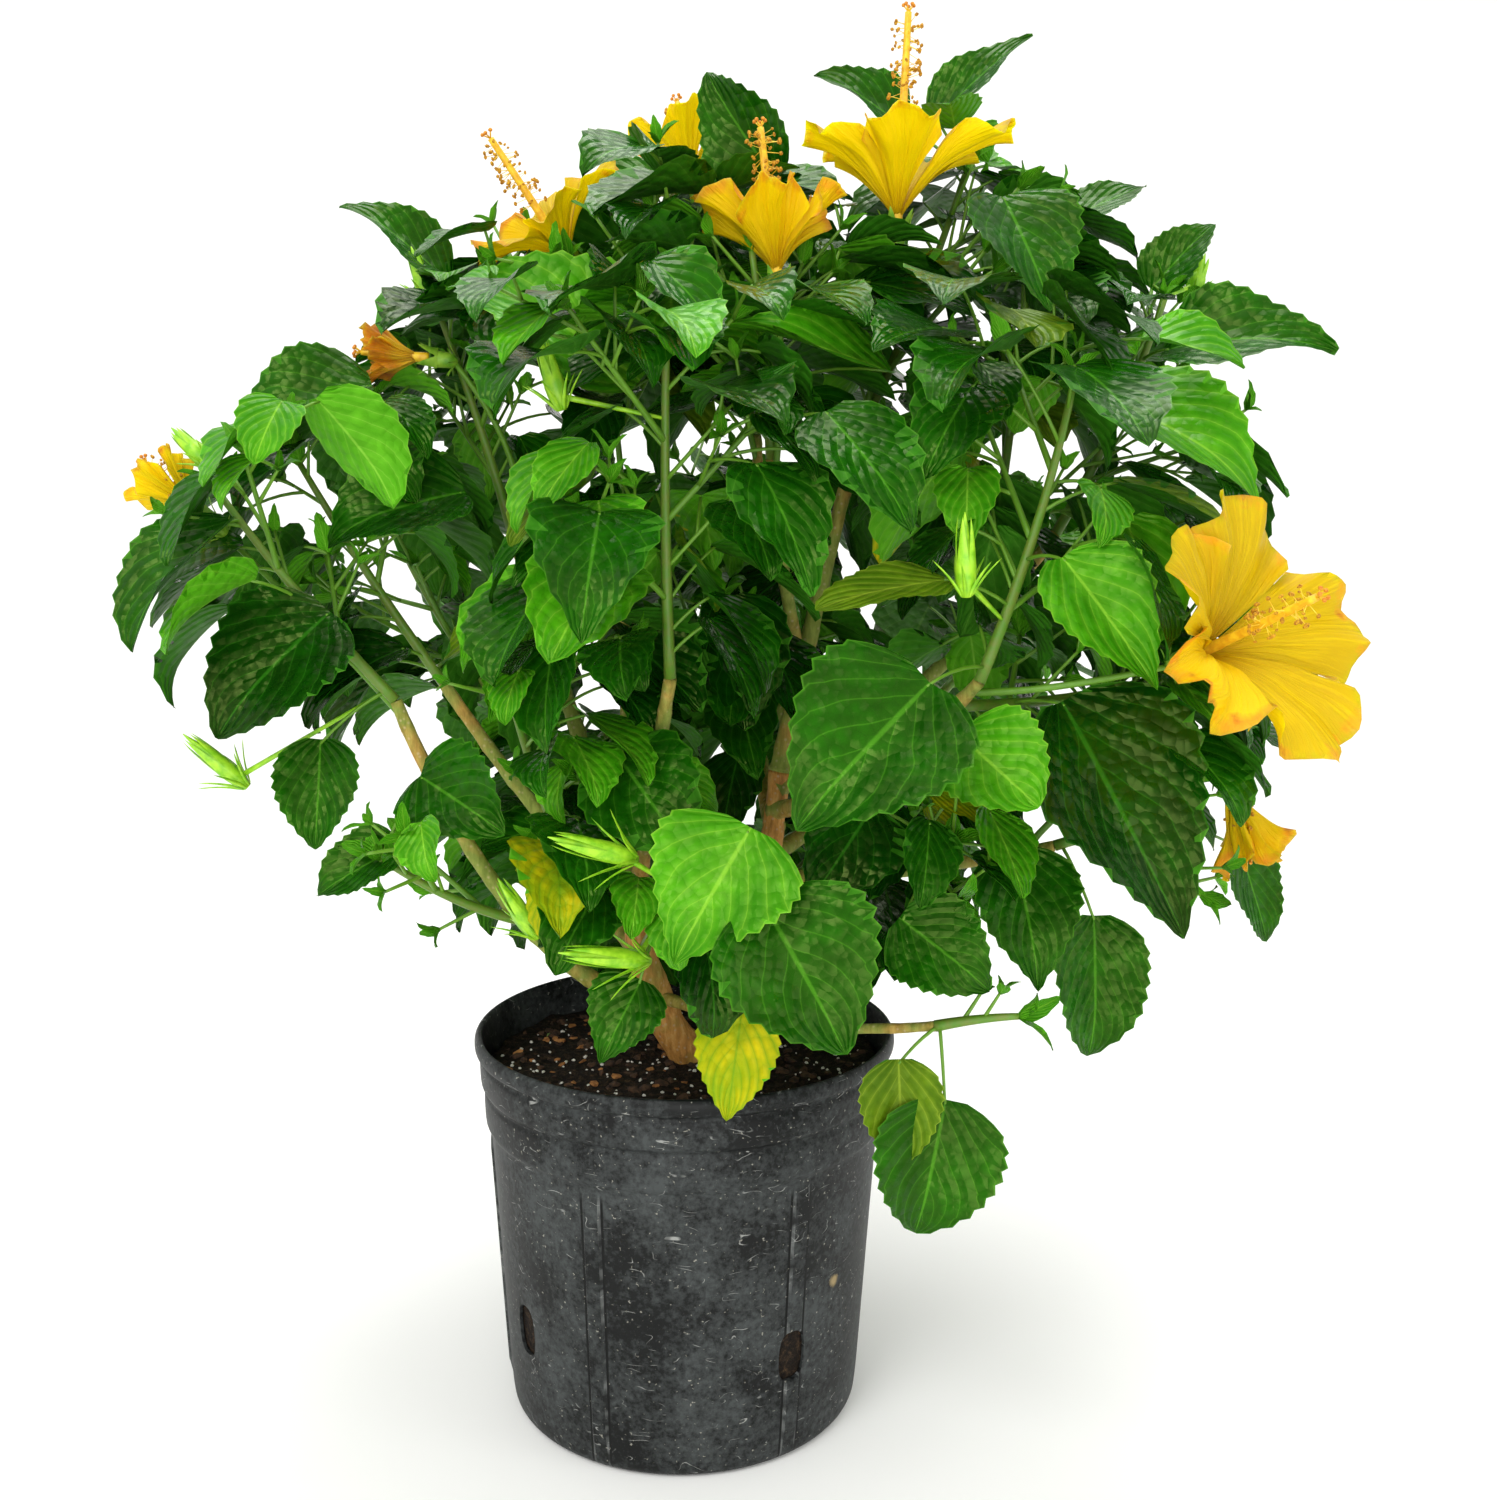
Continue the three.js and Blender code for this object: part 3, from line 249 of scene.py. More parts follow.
# Masses of foliage: where each stem starts and ends, its bow, its side shoots and their length, its
# leaves' length, and how far from its middle it may reach.
MASSES = table(["name", "on", "at", "tip", "bow", "shoots", "shoot", "leaf", "space"], [
    ["foliage_left_low", "bough_left_low", 1, [-262, -60, 572], [-4, 0, -4], 2, 70, 84, 140],
    ["foliage_left_high", "bough_left_high", 1, [-232, 6, 586], [-2, 0, -4], 3, 72, 84, 130],
    ["foliage_left_foot", "bough_left_low", 0.5, [-168, -88, 366], [0, 0, -10], 2, 60, 76, 95],
    ["foliage_front_left", "bough_left_high", 0.4, [-98, -92, 478], [0, -6, -8], 3, 76, 86, 130],
    ["foliage_upper_left", "bough_upper_left", 1, [-156, 44, 684], [4, 2, 0], 3, 78, 88, 140],
    ["foliage_upper_mid", "bough_upper_mid", 1, [-56, 16, 696], [0, 4, 0], 4, 80, 90, 140],
    ["foliage_centre", "bough_centre", 1, [-6, -112, 655], [-3, -4, 0], 3, 78, 86, 150],
    ["foliage_front_low", "trunk", 0.66, [2, -138, 362], [0, -6, 4], 1, 56, 84, 85],
    ["foliage_heart", "bough_back", 0.35, [16, 6, 500], [0, 0, -8], 3, 70, 82, 120],
    ["foliage_top_front", "bough_top_front", 1, [38, -56, 702], [2, -4, 0], 3, 72, 90, 140],
    ["foliage_top", "bough_leader", 1, [170, 70, 768], [6, 12, -6], 3, 78, 90, 140],
    ["foliage_top_right", "bough_right_high", 0.72, [208, 50, 700], [4, 0, 0], 3, 76, 88, 140],
    ["foliage_right_high", "bough_right_high", 1, [284, 14, 688], [8, 0, -4], 3, 72, 88, 130],
    ["foliage_right_front", "bough_right_front", 1, [207, -112, 632], [8, -4, 0], 3, 76, 90, 145],
    ["foliage_right", "bough_right_front", 0.9, [280, -50, 470], [0, 0, -10], 3, 70, 90, 135],
    ["foliage_front_right", "bough_right_low", 0.42, [150, -112, 384], [0, -4, 2], 2, 58, 84, 105],
    ["foliage_right_low", "bough_right_low", 1, [286, -62, 376], [0, 0, 10], 3, 64, 84, 115],
    ["foliage_low_twig", "bough_low_front", 1, [186, -134, 292], [0, 0, 2], 1, 34, 64, 58],
    ["foliage_back_left", "bough_back_left", 1, [-208, 192, 520], [-4, 4, -10], 4, 88, 90, 155],
    ["foliage_back", "bough_back", 1, [48, 246, 570], [0, 6, -12], 4, 88, 90, 160],
    ["foliage_back_right", "bough_back_right", 1, [256, 190, 540], [4, 4, -10], 4, 88, 90, 160],
    ["foliage_back_top", "bough_back_top", 1, [4, 146, 738], [0, 6, 0], 4, 84, 90, 155],
    ["foliage_back_low_left", "trunk", 0.52, [-78, 168, 366], [0, 6, 10], 3, 80, 88, 150],
    ["foliage_back_low_right", "second_stem", 0.5, [150, 172, 368], [0, 6, 10], 3, 80, 88, 150],
])

# Leaves that stand out: mass (without "foliage_"), base, tip, width, the way the upper side looks,
# and curl in radians.
SHOW_LEAVES = table(["mass", "base", "tip", "width", "face", "curl"], [
    ["left_low", [-250, -70, 553], [-303, -108, 488], 62, [-0.5, -0.6, 0.6], 0.5],
    ["left_low", [-196, -72, 503], [-254, -108, 438], 88, [-0.2, -0.85, 0.4], 0.5],
    ["left_low", [-206, -64, 430], [-206, -84, 370], 52, [0, -0.9, 0.3], 0.2],
    ["left_high", [-186, 0, 632], [-264, -20, 604], 66, [-0.1, -0.7, 0.7], 0.5],
    ["left_high", [-130, -12, 570], [-208, -44, 545], 78, [-0.1, -0.7, 0.7], 0.5],
    ["left_foot", [-144, -92, 414], [-94, -130, 392], 62, [0, -0.9, 0.4], 0.3],
    ["left_foot", [-158, -82, 372], [-205, -92, 346], 40, [-0.2, -0.7, 0.6], 0.3],
    ["upper_left", [-148, 40, 697], [-208, 30, 745], 44, [0.5, -0.6, 0.6], 0.5],
    ["upper_mid", [-24, -56, 632], [-120, -46, 692], 88, [0.3, -0.8, 0.6], 0.5],
    ["upper_mid", [-14, 88, 759], [-65, 84, 764], 48, [0.1, -0.6, 0.8], 0.5],
    ["top_front", [52, 40, 758], [8, 46, 822], 56, [-0.6, -0.75, 0.2], 0.5],
    ["top_front", [112, -98, 634], [18, -110, 660], 56, [0.2, -0.45, 0.9], 0.4],
    ["top", [150, 75, 800], [209, 72, 853], 42, [-0.5, -0.7, 0.6], 0.35],
    ["top", [132, 85, 799], [77, 85, 834], 48, [0.2, -0.7, 0.7], 0.4],
    ["top_right", [180, -22, 738], [204, -58, 672], 66, [0.2, -0.85, 0.4], 0.4],
    ["top_right", [232, 52, 738], [280, 56, 760], 40, [-0.2, -0.6, 0.8], 0.4],
    ["right_high", [280, -6, 655], [370, -40, 654], 66, [0.1, -0.75, 0.65], 0.9],
    ["right_high", [278, 24, 694], [312, 18, 733], 44, [-0.4, -0.7, 0.5], 0.3],
    ["right_high", [234, -60, 624], [314, -108, 572], 76, [0.3, -0.75, 0.6], 0.6],
    ["right_front", [193, -168, 540], [236, -198, 478], 60, [0.1, -0.9, 0.4], 0.4],
    ["right_front", [128, -178, 478], [60, -212, 412], 92, [0, -0.85, 0.5], 0.35],
    ["right_front", [138, -158, 528], [70, -188, 516], 42, [0, -0.4, 0.9], 0.4],
    ["right", [202, -136, 464], [265, -166, 345], 104, [0.3, -0.9, 0.4], 0.3],
    ["front_right", [145, -165, 450], [181, -195, 419], 60, [0, -0.9, 0.4], 0.3],
    ["front_right", [120, -132, 346], [168, -152, 312], 58, [0, -0.9, 0.4], 0.3],
    ["front_right", [186, -100, 376], [198, -134, 306], 62, [0.1, -0.95, 0.3], 0.3],
    ["right_low", [238, -72, 332], [238, -92, 252], 62, [0.2, -0.9, 0.3], 0.3],
    ["right_low", [346, 10, 355], [370, 16, 292], 44, [0.4, -0.8, 0.3], 0.2],
    ["front_low", [46, -168, 364], [90, -192, 290], 92, [0.1, -0.9, 0.4], 0.3],
    ["front_low", [40, -158, 400], [0, -182, 334], 84, [-0.1, -0.85, 0.5], 0.35],
    ["front_low", [-20, -112, 304], [-42, -130, 262], 44, [-0.1, -0.85, 0.5], 0.3],
    ["front_low", [36, -124, 292], [28, -142, 234], 46, [0, -0.95, 0.3], 0.3],
    ["low_twig", [147, -138, 246], [132, -152, 172], 72, [0.1, -0.95, 0.2], 0.2],
    ["low_twig", [121, -136, 268], [123, -150, 212], 44, [0, -0.95, 0.2], 0.2],
])

# Buds on their stalks.
BUDS = table(["mass", "base", "tip"], [
    ["front_low", [-20, -146, 380], [-60, -170, 396]],
    ["front_low", [-14, -136, 322], [-56, -164, 334]],
    ["left_foot", [-80, -92, 322], [-98, -104, 356]],
    ["left_low", [-256, -42, 398], [-286, -52, 428]],
    ["left_low", [-270, -42, 584], [-288, -42, 602]],
    ["upper_left", [-158, 32, 684], [-166, 30, 712]],
    ["centre", [-60, -118, 612], [-70, -120, 646]],
    ["right_front", [146, -168, 520], [144, -170, 558]],
    ["right_high", [304, 30, 690], [310, 30, 712]],
])

for row in SHOW_LEAVES + BUDS:
    row["mass"] = "foliage_" + row["mass"]

# Flowers: the limb each twig leaves and where, the throat, the way the column points, petal length,
# how far the petals lean from the column at foot and rim, the column's length, and the stage.
FLOWERS = table(["name", "on", "at", "throat", "aim", "petal", "open", "column", "stage"], [
    ["flower_top", "bough_leader", 0.94, [122, 0, 726], [0.04, 0, 1], 84, [26, 74], 122, "open"],
    ["flower_middle", "bough_top_front", 0.9, [52, -62, 686], [-0.12, 0.1, 1], 62,
     [22, 60], 86, "fading"],
    ["flower_upper_left", "bough_upper_mid", 0.88, [-70, 20, 706], [-0.52, -0.25, 0.82], 66,
     [28, 84], 84, "open"],
    ["flower_back_top", "bough_back_top", 0.9, [0, 118, 772], [-0.2, 0.3, 0.9], 56,
     [24, 70], 60, "open"],
    ["flower_right", "bough_right_front", 0.96, [262, -166, 492], [0.5, -0.7, 0.4], 86,
     [30, 84], 80, "open"],
    ["flower_right_low", "bough_right_low", 0.9, [318, -44, 410], [0.35, 0, -0.92], 60,
     [10, 30], 52, "fading"],
    ["flower_left", "bough_left_low", 0.97, [-278, -34, 556], [-0.7, 0.1, 0.6], 46,
     [14, 44], 46, "open"],
    ["flower_spent", "bough_upper_left", 0.95, [-158, 22, 650], [-0.98, -0.1, 0.08], 40,
     [16, 34], 40, "spent"],
])
print(len(MASSES), "masses,", len(SHOW_LEAVES), "standing leaves,", len(FLOWERS), "flowers")

# %% Sizes, in millimetres
SEAT = 0.3  # how far a limb starts clear of what carries it
POT = {"height": 241, "rim": 131}
SOIL_TOP = 219
RIM_MARGIN = 14  # inside this much of the rim only the soil is in the way
CROWN_FOOT = np.array([20.0, 10.0, 330.0])  # shoots and leaves turn outward from here
# The crown's outline from the front: level, furthest left, furthest right.
CROWN_OUTLINE = np.array([
    [200, -110, 250], [300, -215, 350], [400, -285, 370], [500, -320, 370], [600, -295, 345],
    [680, -200, 325], [760, -105, 260], [850, 60, 200],
])
CROWN_DEPTH = 0.88  # how deep the crown is, as a share of its width
CROWN_FLAT = 0.1  # the share of that depth over which its sides stay at full width
SPIRAL = 137.5  # degrees from one leaf to the next round a twig
print("crown levels:", CROWN_OUTLINE[0, 0], "to", CROWN_OUTLINE[-1, 0], "mm")

# %% [markdown]
# ## Growing the twigs and leaves
#
# Real shoots follow simple habits. Leaves leave a twig in turn round it, each about 137 degrees
# from the last. They reach out and up for light, and none can grow where another already is.
# Written as a rule with a seeded row of numbers, those habits give the same plant every time.
# The first round repeats the CAD model's growth. A second round carries on to finer twigs and
# smaller leaves, and may come closer to what is there.

# %% Chance and vectors
UP = np.array([0.0, 0.0, 1.0])


class Dice:
    """A seeded row of numbers (the Park-Miller rule), one row for each mass."""

    FACTOR, MODULUS = 16807, 2147483647

    def __init__(self, seed):
        self.state = seed * 7919 + 12345

    def between(self, limits):
        self.state = self.state * self.FACTOR % self.MODULUS
        return limits[0] + (limits[1] - limits[0]) * self.state / self.MODULUS


def vec(values):
    return np.array(values, float)


def unit(vector):
    return vector / np.linalg.norm(vector)


def square_to(axis):
    """Any unit vector square to `axis`, always chosen the same way."""
    helper = UP if abs(axis[2]) < 0.9 else vec([1, 0, 0])
    return unit(np.cross(axis, helper))


def flatten_on(vector, axis):
    return unit(vector - axis * (vector @ axis))


def turned(vector, axis, degrees):
    """`vector` turned round `axis`."""
    angle = math.radians(degrees)
    return (vector * math.cos(angle) + np.cross(axis, vector) * math.sin(angle)
            + axis * (axis @ vector) * (1 - math.cos(angle)))


# %% Curves for limbs and twigs
def make_run(start, tip, bow, radii):
    """A bowed run of wood whose radius tapers evenly."""
    start, tip = vec(start), vec(tip)
    middle = (start + tip) / 2 + vec(bow)
    chord = tip - start
    across = np.cross(middle - start, chord)
    bowed = np.linalg.norm(across) > 1e-3 * np.linalg.norm(chord)
    side = unit(across) if bowed else square_to(unit(chord))
    run = {"start": start, "middle": middle, "tip": tip, "radii": radii, "side": side}
    pieces = np.diff(points_on(run, np.linspace(0, 1, 201)), axis=0)
    run["length"] = np.linalg.norm(pieces, axis=1).sum()
    return run


def points_on(run, shares):
    """The points at some shares of a run's length, 0 at its start and 1 at its tip."""
    t = np.asarray(shares, float)[..., None]
    return (1 - t) ** 2 * run["start"] + 2 * t * (1 - t) * run["middle"] + t * t * run["tip"]


def aim_on(run, share):
    before, after = max(0.0, share - 1e-4), min(1.0, share + 1e-4)
    return unit(points_on(run, after) - points_on(run, before))


def radius_on(run, share):
    return run["radii"][0] + (run["radii"][1] - run["radii"][0]) * share


# %% Blades
def make_leaf(base, aim, face, length, width, curl):
    """A blade: base, the way it sets off, its upper side, size, and curl from base to tip."""
    normal = flatten_on(face, aim)
    return {"base": base, "aim": aim, "normal": normal, "side": np.cross(aim, normal),
            "length": length, "width": width, "curl": curl}


def blade_points(leaf, along, across, lift=0.0):
    """Points of a blade on its bent middle surface. `across` is a share of the width."""
    turn = leaf["curl"] * np.asarray(along, float)[..., None]
    across = np.asarray(across, float)[..., None]
    lift = np.asarray(lift, float)[..., None]
    reach = leaf["length"] / leaf["curl"]
    return (leaf["base"] + leaf["aim"] * (np.sin(turn) * (reach + lift))
            + leaf["side"] * across * leaf["width"]
            + leaf["normal"] * (np.cos(turn) * (lift + reach) - reach))


def leaf_between(row):
    """A leaf that reaches from base to tip and looks towards its face."""
    half = row["curl"] / 2
    chord = vec(row["tip"]) - vec(row["base"])
    aim = unit(chord)
    normal = flatten_on(vec(row["face"]), aim)
    set_off = aim * math.cos(half) + normal * math.sin(half)
    length = np.linalg.norm(chord) * half / math.sin(half)
    return make_leaf(vec(row["base"]), set_off, vec(row["face"]), length, row["width"], row["curl"])


# %% Flowers' shape
CALYX_BELOW = 20  # mm from the throat down to the calyx's foot


def flower_axes(flower):
    """The way a flower's column points, two ways square to that, and its throat."""
    aim = unit(vec(flower["aim"]))
    right = square_to(aim)
    return aim, right, np.cross(aim, right), vec(flower["throat"])


def around_flower(flower, turn, out, up):
    """Points `out` from a flower's axis and `up` along it, `turn` degrees round it."""
    aim, right, over, throat = flower_axes(flower)
    angle = np.radians(np.asarray(turn, float))[..., None]
    out, up = np.asarray(out, float)[..., None], np.asarray(up, float)[..., None]
    return throat + aim * up + right * out * np.cos(angle) + over * out * np.sin(angle)


def petal_reach(flower, share, lift=0.0):
    """How far out and up a petal has come, as it opens from its foot to its rim."""
    foot, rim = (math.radians(angle) for angle in flower["open"])
    bend = rim - foot
    lean = foot + bend * np.asarray(share, float)
    out = flower["petal"] / bend * (math.cos(foot) - np.cos(lean)) - lift * np.cos(lean)
    up = flower["petal"] / bend * (np.sin(lean) - math.sin(foot)) + lift * np.sin(lean)
    return out, up


# %% Room for each piece
# Test points' distance apart and the room that each keeps free, on blades and on twigs, in mm.
BLADE_STEP, BLADE_REACH, TWIG_STEP, TWIG_REACH = 9.5, 7, 7, 3.6
OWN_SHARE = 0.65  # leaves of one mass may come this much closer to each other
MOST_REACH = 14  # no placed point keeps more room than this
# A branch starts inside what carries it, so this first share of its length isn't tested.
LEAVING = {"stem": 0.06, "shoot": 0.25, "stalk": 0.3, "flower": 0.12}


class Room:
    """Everything that has been placed, as points that keep others away."""

    def __init__(self, most=60000):
        self.at = np.zeros((most, 3))
        self.reach = np.zeros(most)
        self.owner = np.zeros(most, int)
        self.count = 0

    def take(self, at, reach, owner):
        new = slice(self.count, self.count + len(at))
        self.at[new], self.reach[new], self.owner[new] = at, reach, owner
        self.count += len(at)

    def is_clear(self, at, reach, owner, closer=1.0):
        """Whether points keep `closer` times their full distance from what is placed."""
        margin = (reach.max() + MOST_REACH) * closer
        others = self.at[:self.count]
        near = ((others > at.min(0) - margin) & (others < at.max(0) + margin)).all(axis=1)
        if not near.any():
            return True
        apart = np.linalg.norm(at[:, None] - others[near], axis=2)
        needed = (reach[:, None] + self.reach[:self.count][near]) * closer
        needed = np.where(self.owner[:self.count][near] == owner, needed * OWN_SHARE, needed)
        return bool((apart >= needed).all())


room_taken = Room()
owners = {}


def owner_of(name):
    return owners.setdefault(name, len(owners))


# %% Test points
def twig_points(run, start=0.0):
    """Test points along a run from some share of its length on, and the room each keeps."""
    count = max(2, math.ceil(run["length"] / TWIG_STEP))
    shares = start + (1 - start) * np.arange(count + 1) / count
    return points_on(run, shares), TWIG_REACH + radius_on(run, shares)


# A plain blade's half width along its length, both as shares.
CAD_EDGE = np.array([[0, 0], [0.22, 0.5], [0.62, 0.37], [1, 0]])


def spread_points(leaf):
    """Test points all over a blade."""
    rows = max(3, round(leaf["length"] / BLADE_STEP))
    along, across = [], []
    for row in range(rows):
        place = (row + 0.5) / rows
        half = np.interp(place, CAD_EDGE[:, 0], CAD_EDGE[:, 1])
        columns = max(1, math.floor(2 * half * leaf["width"] / BLADE_STEP + 0.5))
        for column in range(columns):
            along.append(place)
            across.append(half * (2 * (column + 0.5) / columns - 1))
    at = blade_points(leaf, along, across)
    return at, np.full(len(at), float(BLADE_REACH))


def petal_points(flower):
    """Test points all over a flower's funnel of petals."""
    at = []
    share = BLADE_STEP / flower["petal"]
    while share < 1:
        out, up = petal_reach(flower, share)
        count = max(3, math.floor(2 * math.pi * out / BLADE_STEP + 0.5))
        at.append(around_flower(flower, 360 / count * np.arange(count), out, up))
        share += BLADE_STEP / flower["petal"]
    at = np.concatenate(at)
    return at, np.full(len(at), float(BLADE_REACH))


# %% Where a piece may be
def is_outside_pot(at, reach):
    """Whether points clear the pot's wall and the soil by their reach."""
    out = np.hypot(at[:, 0], at[:, 1])
    below = np.where(out > POT["rim"] - RIM_MARGIN, POT["height"], SOIL_TOP)
    return bool(((out > POT["rim"] + reach) | (at[:, 2] > below + reach)).all())


def is_in_crown(at):
    """Whether points lie inside the crown's outline, which at each level is an oval."""
    levels = CROWN_OUTLINE[:, 0]
    if at[:, 2].min() < levels[0] or at[:, 2].max() >= levels[-1]:
        return False
    left = np.interp(at[:, 2], levels, CROWN_OUTLINE[:, 1])
    right = np.interp(at[:, 2], levels, CROWN_OUTLINE[:, 2])
    half = (right - left) / 2
    aside = (at[:, 0] - (left + right) / 2) / half
    deep = abs(at[:, 1] - CROWN_FOOT[1]) / (half * CROWN_DEPTH)
    return bool((aside ** 2 + np.maximum(0, deep - CROWN_FLAT) ** 2 < 1).all())


BOX = np.array(cad_box) * 1000


def is_in_box(at):
    """Whether points lie inside the CAD model's box, to a millimetre."""
    return bool(((at >= BOX[0] - 1) & (at <= BOX[1] + 1)).all())


# %% The look from the front
# The crown's outline from the camera, in mm on the upright plane through the pot's middle: level,
# left, right. Below it come the openings where sky shows: middle, level, half width, half height.
FRONT_OUTLINE = np.array([
    [240, 30, 110], [270, -60, 235], [300, -140, 296], [345, -178, 306], [380, -225, 350],
    [430, -275, 385], [480, -325, 385], [520, -320, 350], [600, -290, 340], [625, -245, 312],
    [655, -185, 330], [700, -165, 285], [730, -170, 260], [770, -100, 200], [800, 0, 190],
    [830, 70, 180], [855, 110, 130],
])
OPENINGS = np.array([
    [-222, 318, 50, 42], [-190, 545, 26, 20], [-228, 565, 34, 16], [-176, 505, 20, 26],
    [-262, 480, 34, 16], [212, 772, 34, 20], [8, 790, 26, 26], [298, 312, 32, 34],
    [196, 285, 26, 26], [152, 345, 12, 12], [200, 592, 34, 7], [222, 590, 12, 24],
    [235, 454, 20, 10], [213, 515, 12, 12], [-22, 590, 22, 12], [28, 600, 16, 12],
    [318, 640, 34, 8], [-92, 622, 10, 14], [276, 600, 14, 12],
])


def as_seen(at):
    """Where points appear from the camera on the upright plane through the pot's middle."""
    eye = np.array(CAMERA_AT) * 1000
    return (eye + (at - eye) * (-eye[1] / (at[:, 1] - eye[1]))[:, None])[:, [0, 2]]


def out_of_view(at):
    """Which points lie outside the outline as the camera sees it, or in one of the openings."""
    x, z = as_seen(at).T
    left, right = (np.interp(z, FRONT_OUTLINE[:, 0], FRONT_OUTLINE[:, k]) for k in (1, 2))
    in_gap = (((x[:, None] - OPENINGS[:, 0]) / OPENINGS[:, 2]) ** 2
              + ((z[:, None] - OPENINGS[:, 1]) / OPENINGS[:, 3]) ** 2 < 1).any(axis=1)
    return (x < left) | (x > right) | (z < FRONT_OUTLINE[0, 0]) | in_gap


# Limbs that show between the leaves, each from this share of its length on, and flowers that show.
SHOWN_RUNS = {
    "bough_left_low": 0.5, "bough_left_high": 0.5, "foliage_left_low": 0.0,
    "foliage_left_high": 0.0, "foliage_centre": 0.0, "foliage_right_front": 0.1,
    "foliage_upper_left": 0.1,
}
SHOWN_FLOWERS = [
    "flower_top", "flower_middle", "flower_upper_left", "flower_right", "flower_spent",
]
SHOWN_REACH = 6.0  # mm to either side that stay open
shown_lines = []
print(len(OPENINGS), "openings;", len(SHOWN_RUNS) + len(SHOWN_FLOWERS), "pieces that must show")


def hides_a_stem(at):
    """Whether points stand in front of one of the limbs that show between the leaves."""
    seen = as_seen(at)
    for line in shown_lines:
        close = np.linalg.norm(seen[:, None] - as_seen(line), axis=2) < SHOWN_REACH
        if (close & (at[:, None, 1] < line[:, 1])).any():
            return True
    return False


# %% Limbs and flowers
limb_runs = {}
for stem in STEMS:
    foot = stem["root"] + [SOIL_TOP + SEAT]
    limb_runs[stem["name"]] = make_run(foot, stem["tip"], stem["bow"], stem["radii"])
for bough in BOUGHS:
    start = points_on(limb_runs[bough["on"]], bough["at"])
    limb_runs[bough["name"]] = make_run(start, bough["tip"], bough["bow"], bough["radii"])
for name, run in limb_runs.items():
    room_taken.take(*twig_points(run), owner_of(name))
    if name in SHOWN_RUNS:
        shown_lines.append(points_on(run, np.linspace(SHOWN_RUNS[name], 1, 24)))

for flower in FLOWERS:
    aim, _, _, throat = flower_axes(flower)
    start = points_on(limb_runs[flower["on"]], flower["at"])
    foot = throat + aim * (4 - CALYX_BELOW)
    bow = -aim * np.linalg.norm(foot - start) * 0.25
    flower["twig"] = make_run(start, foot, bow, [2.2, 1.6])
    column = make_run(throat, throat + aim * flower["column"], [0, 0, 0], [2.8, 5.2])
    mine = owner_of(flower["name"])
    room_taken.take(*twig_points(flower["twig"], LEAVING["flower"]), mine)
    room_taken.take(*twig_points(column), mine)
    room_taken.take(*petal_points(flower), mine)
    if flower["name"] in SHOWN_FLOWERS:
        shown_lines.append(petal_points(flower)[0])
print(len(limb_runs), "limbs,", len(FLOWERS), "flowering twigs,", room_taken.count, "points")

# %% [markdown]
# Each round of growth has its own dictionary of habits, so that one pair of functions can grow
# the coarse twigs first and the fine ones after.

# %% Habits of growth
# Radii at foot and tip, in mm.
STEM_RADII, SHOOT_RADII, STALK_RADII, FINE_RADII = [4.2, 2.6], [2, 1.6], [0.75, 1.2], [1.3, 0.9]
SHOOT = {
    "first": 0.12, "span": 0.68,  # the part of the parent that bears shoots
    "lengths": [0.8, 1.15], "bare": 0.3,  # length as a share of the mass's, and its leafless foot
    "onward": 0.55, "outward": 0.35, "lift": 0.12,  # the pulls along the parent, out and up
    "tries": 6, "retry": 55,  # turns of so many degrees until it finds room
}
LEAF = {
    "spacing": [17, 22], "lengths": [0.78, 1.08], "youngest": 0.62, "petiole": [0.4, 0.7],
    "roll": [-0.5, 0.5], "droop": [0.1, 0.9], "curl": [0.35, 0.85],  # in radians
    "high": 560, "flatter": 0.004,  # above this level blades droop less, by so much for each mm
    "onward": 0.5, "outward": 0.3, "lift": 0.15, "swing": 0.7, "lean": 0.5,
    "tries": 8, "retry": 47, "shrink": 0.06,  # each try turns and has a shorter stalk
}
LEAF_WIDTH = 0.86  # width as a share of length
STALK_SUNK = 8  # how far a stalk runs on under its blade
FINE_SHOOT = {**SHOOT, "first": 0.2, "span": 0.75, "lengths": [0.4, 0.62], "bare": 0.25}
FINE_LEAF = {
    **LEAF, "spacing": [9, 13], "lengths": [0.6, 0.95], "youngest": 0.7, "tries": 10,
    "roll": [-0.8, 0.8], "petiole": [0.3, 0.65],
}
FINE_PER_TWIG = 3
FINE_CLOSER = 0.5  # the second round may come this much closer to what is there


# %% Shoots and leaves
def outward(point):
    """The way from the crown's foot to a point."""
    return unit(point - CROWN_FOOT)


def middle_of(mass):
    """The middle that a mass's leaves keep near."""
    return points_on(mass["twigs"][0][0], 0.6)


def grow_shoots(mass, parents, count, rule, radii, closer=1.0):
    """Side shoots leave each parent in turn round it and bend up to the light."""
    dice, made = mass["dice"], []
    for parent in parents:
        for index in range(count):
            share = rule["first"] + rule["span"] * (index + 0.5) / count
            start, aim = points_on(parent, share), aim_on(parent, share)
            length = mass["shoot"] * dice.between(rule["lengths"])
            turn = SPIRAL * index + dice.between([0, 360])
            for attempt in range(rule["tries"]):
                side = turned(square_to(aim), aim, turn + rule["retry"] * attempt)
                way = unit(aim * rule["onward"] + side + outward(start) * rule["outward"])
                way = way + UP * rule["lift"]
                run = make_run(start, start + way * length, [0, 0, 0], radii)
                at, reach = twig_points(run, LEAVING["shoot"])
                inside = closer == 1 or is_in_box(run["tip"])
                clear = inside and room_taken.is_clear(at, reach, mass["owner"], closer)
                if clear and is_outside_pot(at, reach):
                    room_taken.take(at, reach, mass["owner"])
                    made.append((run, rule["bare"]))
                    break
    return made


def stalk_to(mass, base, aim):
    """The stalk from the nearest twig of a mass to `base`."""
    starts = np.concatenate([points_on(run, np.arange(1, 21) / 20) for run, _ in mass["twigs"]])
    cost = np.linalg.norm(starts - base, axis=1) + np.maximum(0, starts[:, 2] - base[2]) * 0.4
    return make_run(starts[cost.argmin()], base + aim * STALK_SUNK, [0, 0, 0], STALK_RADII)


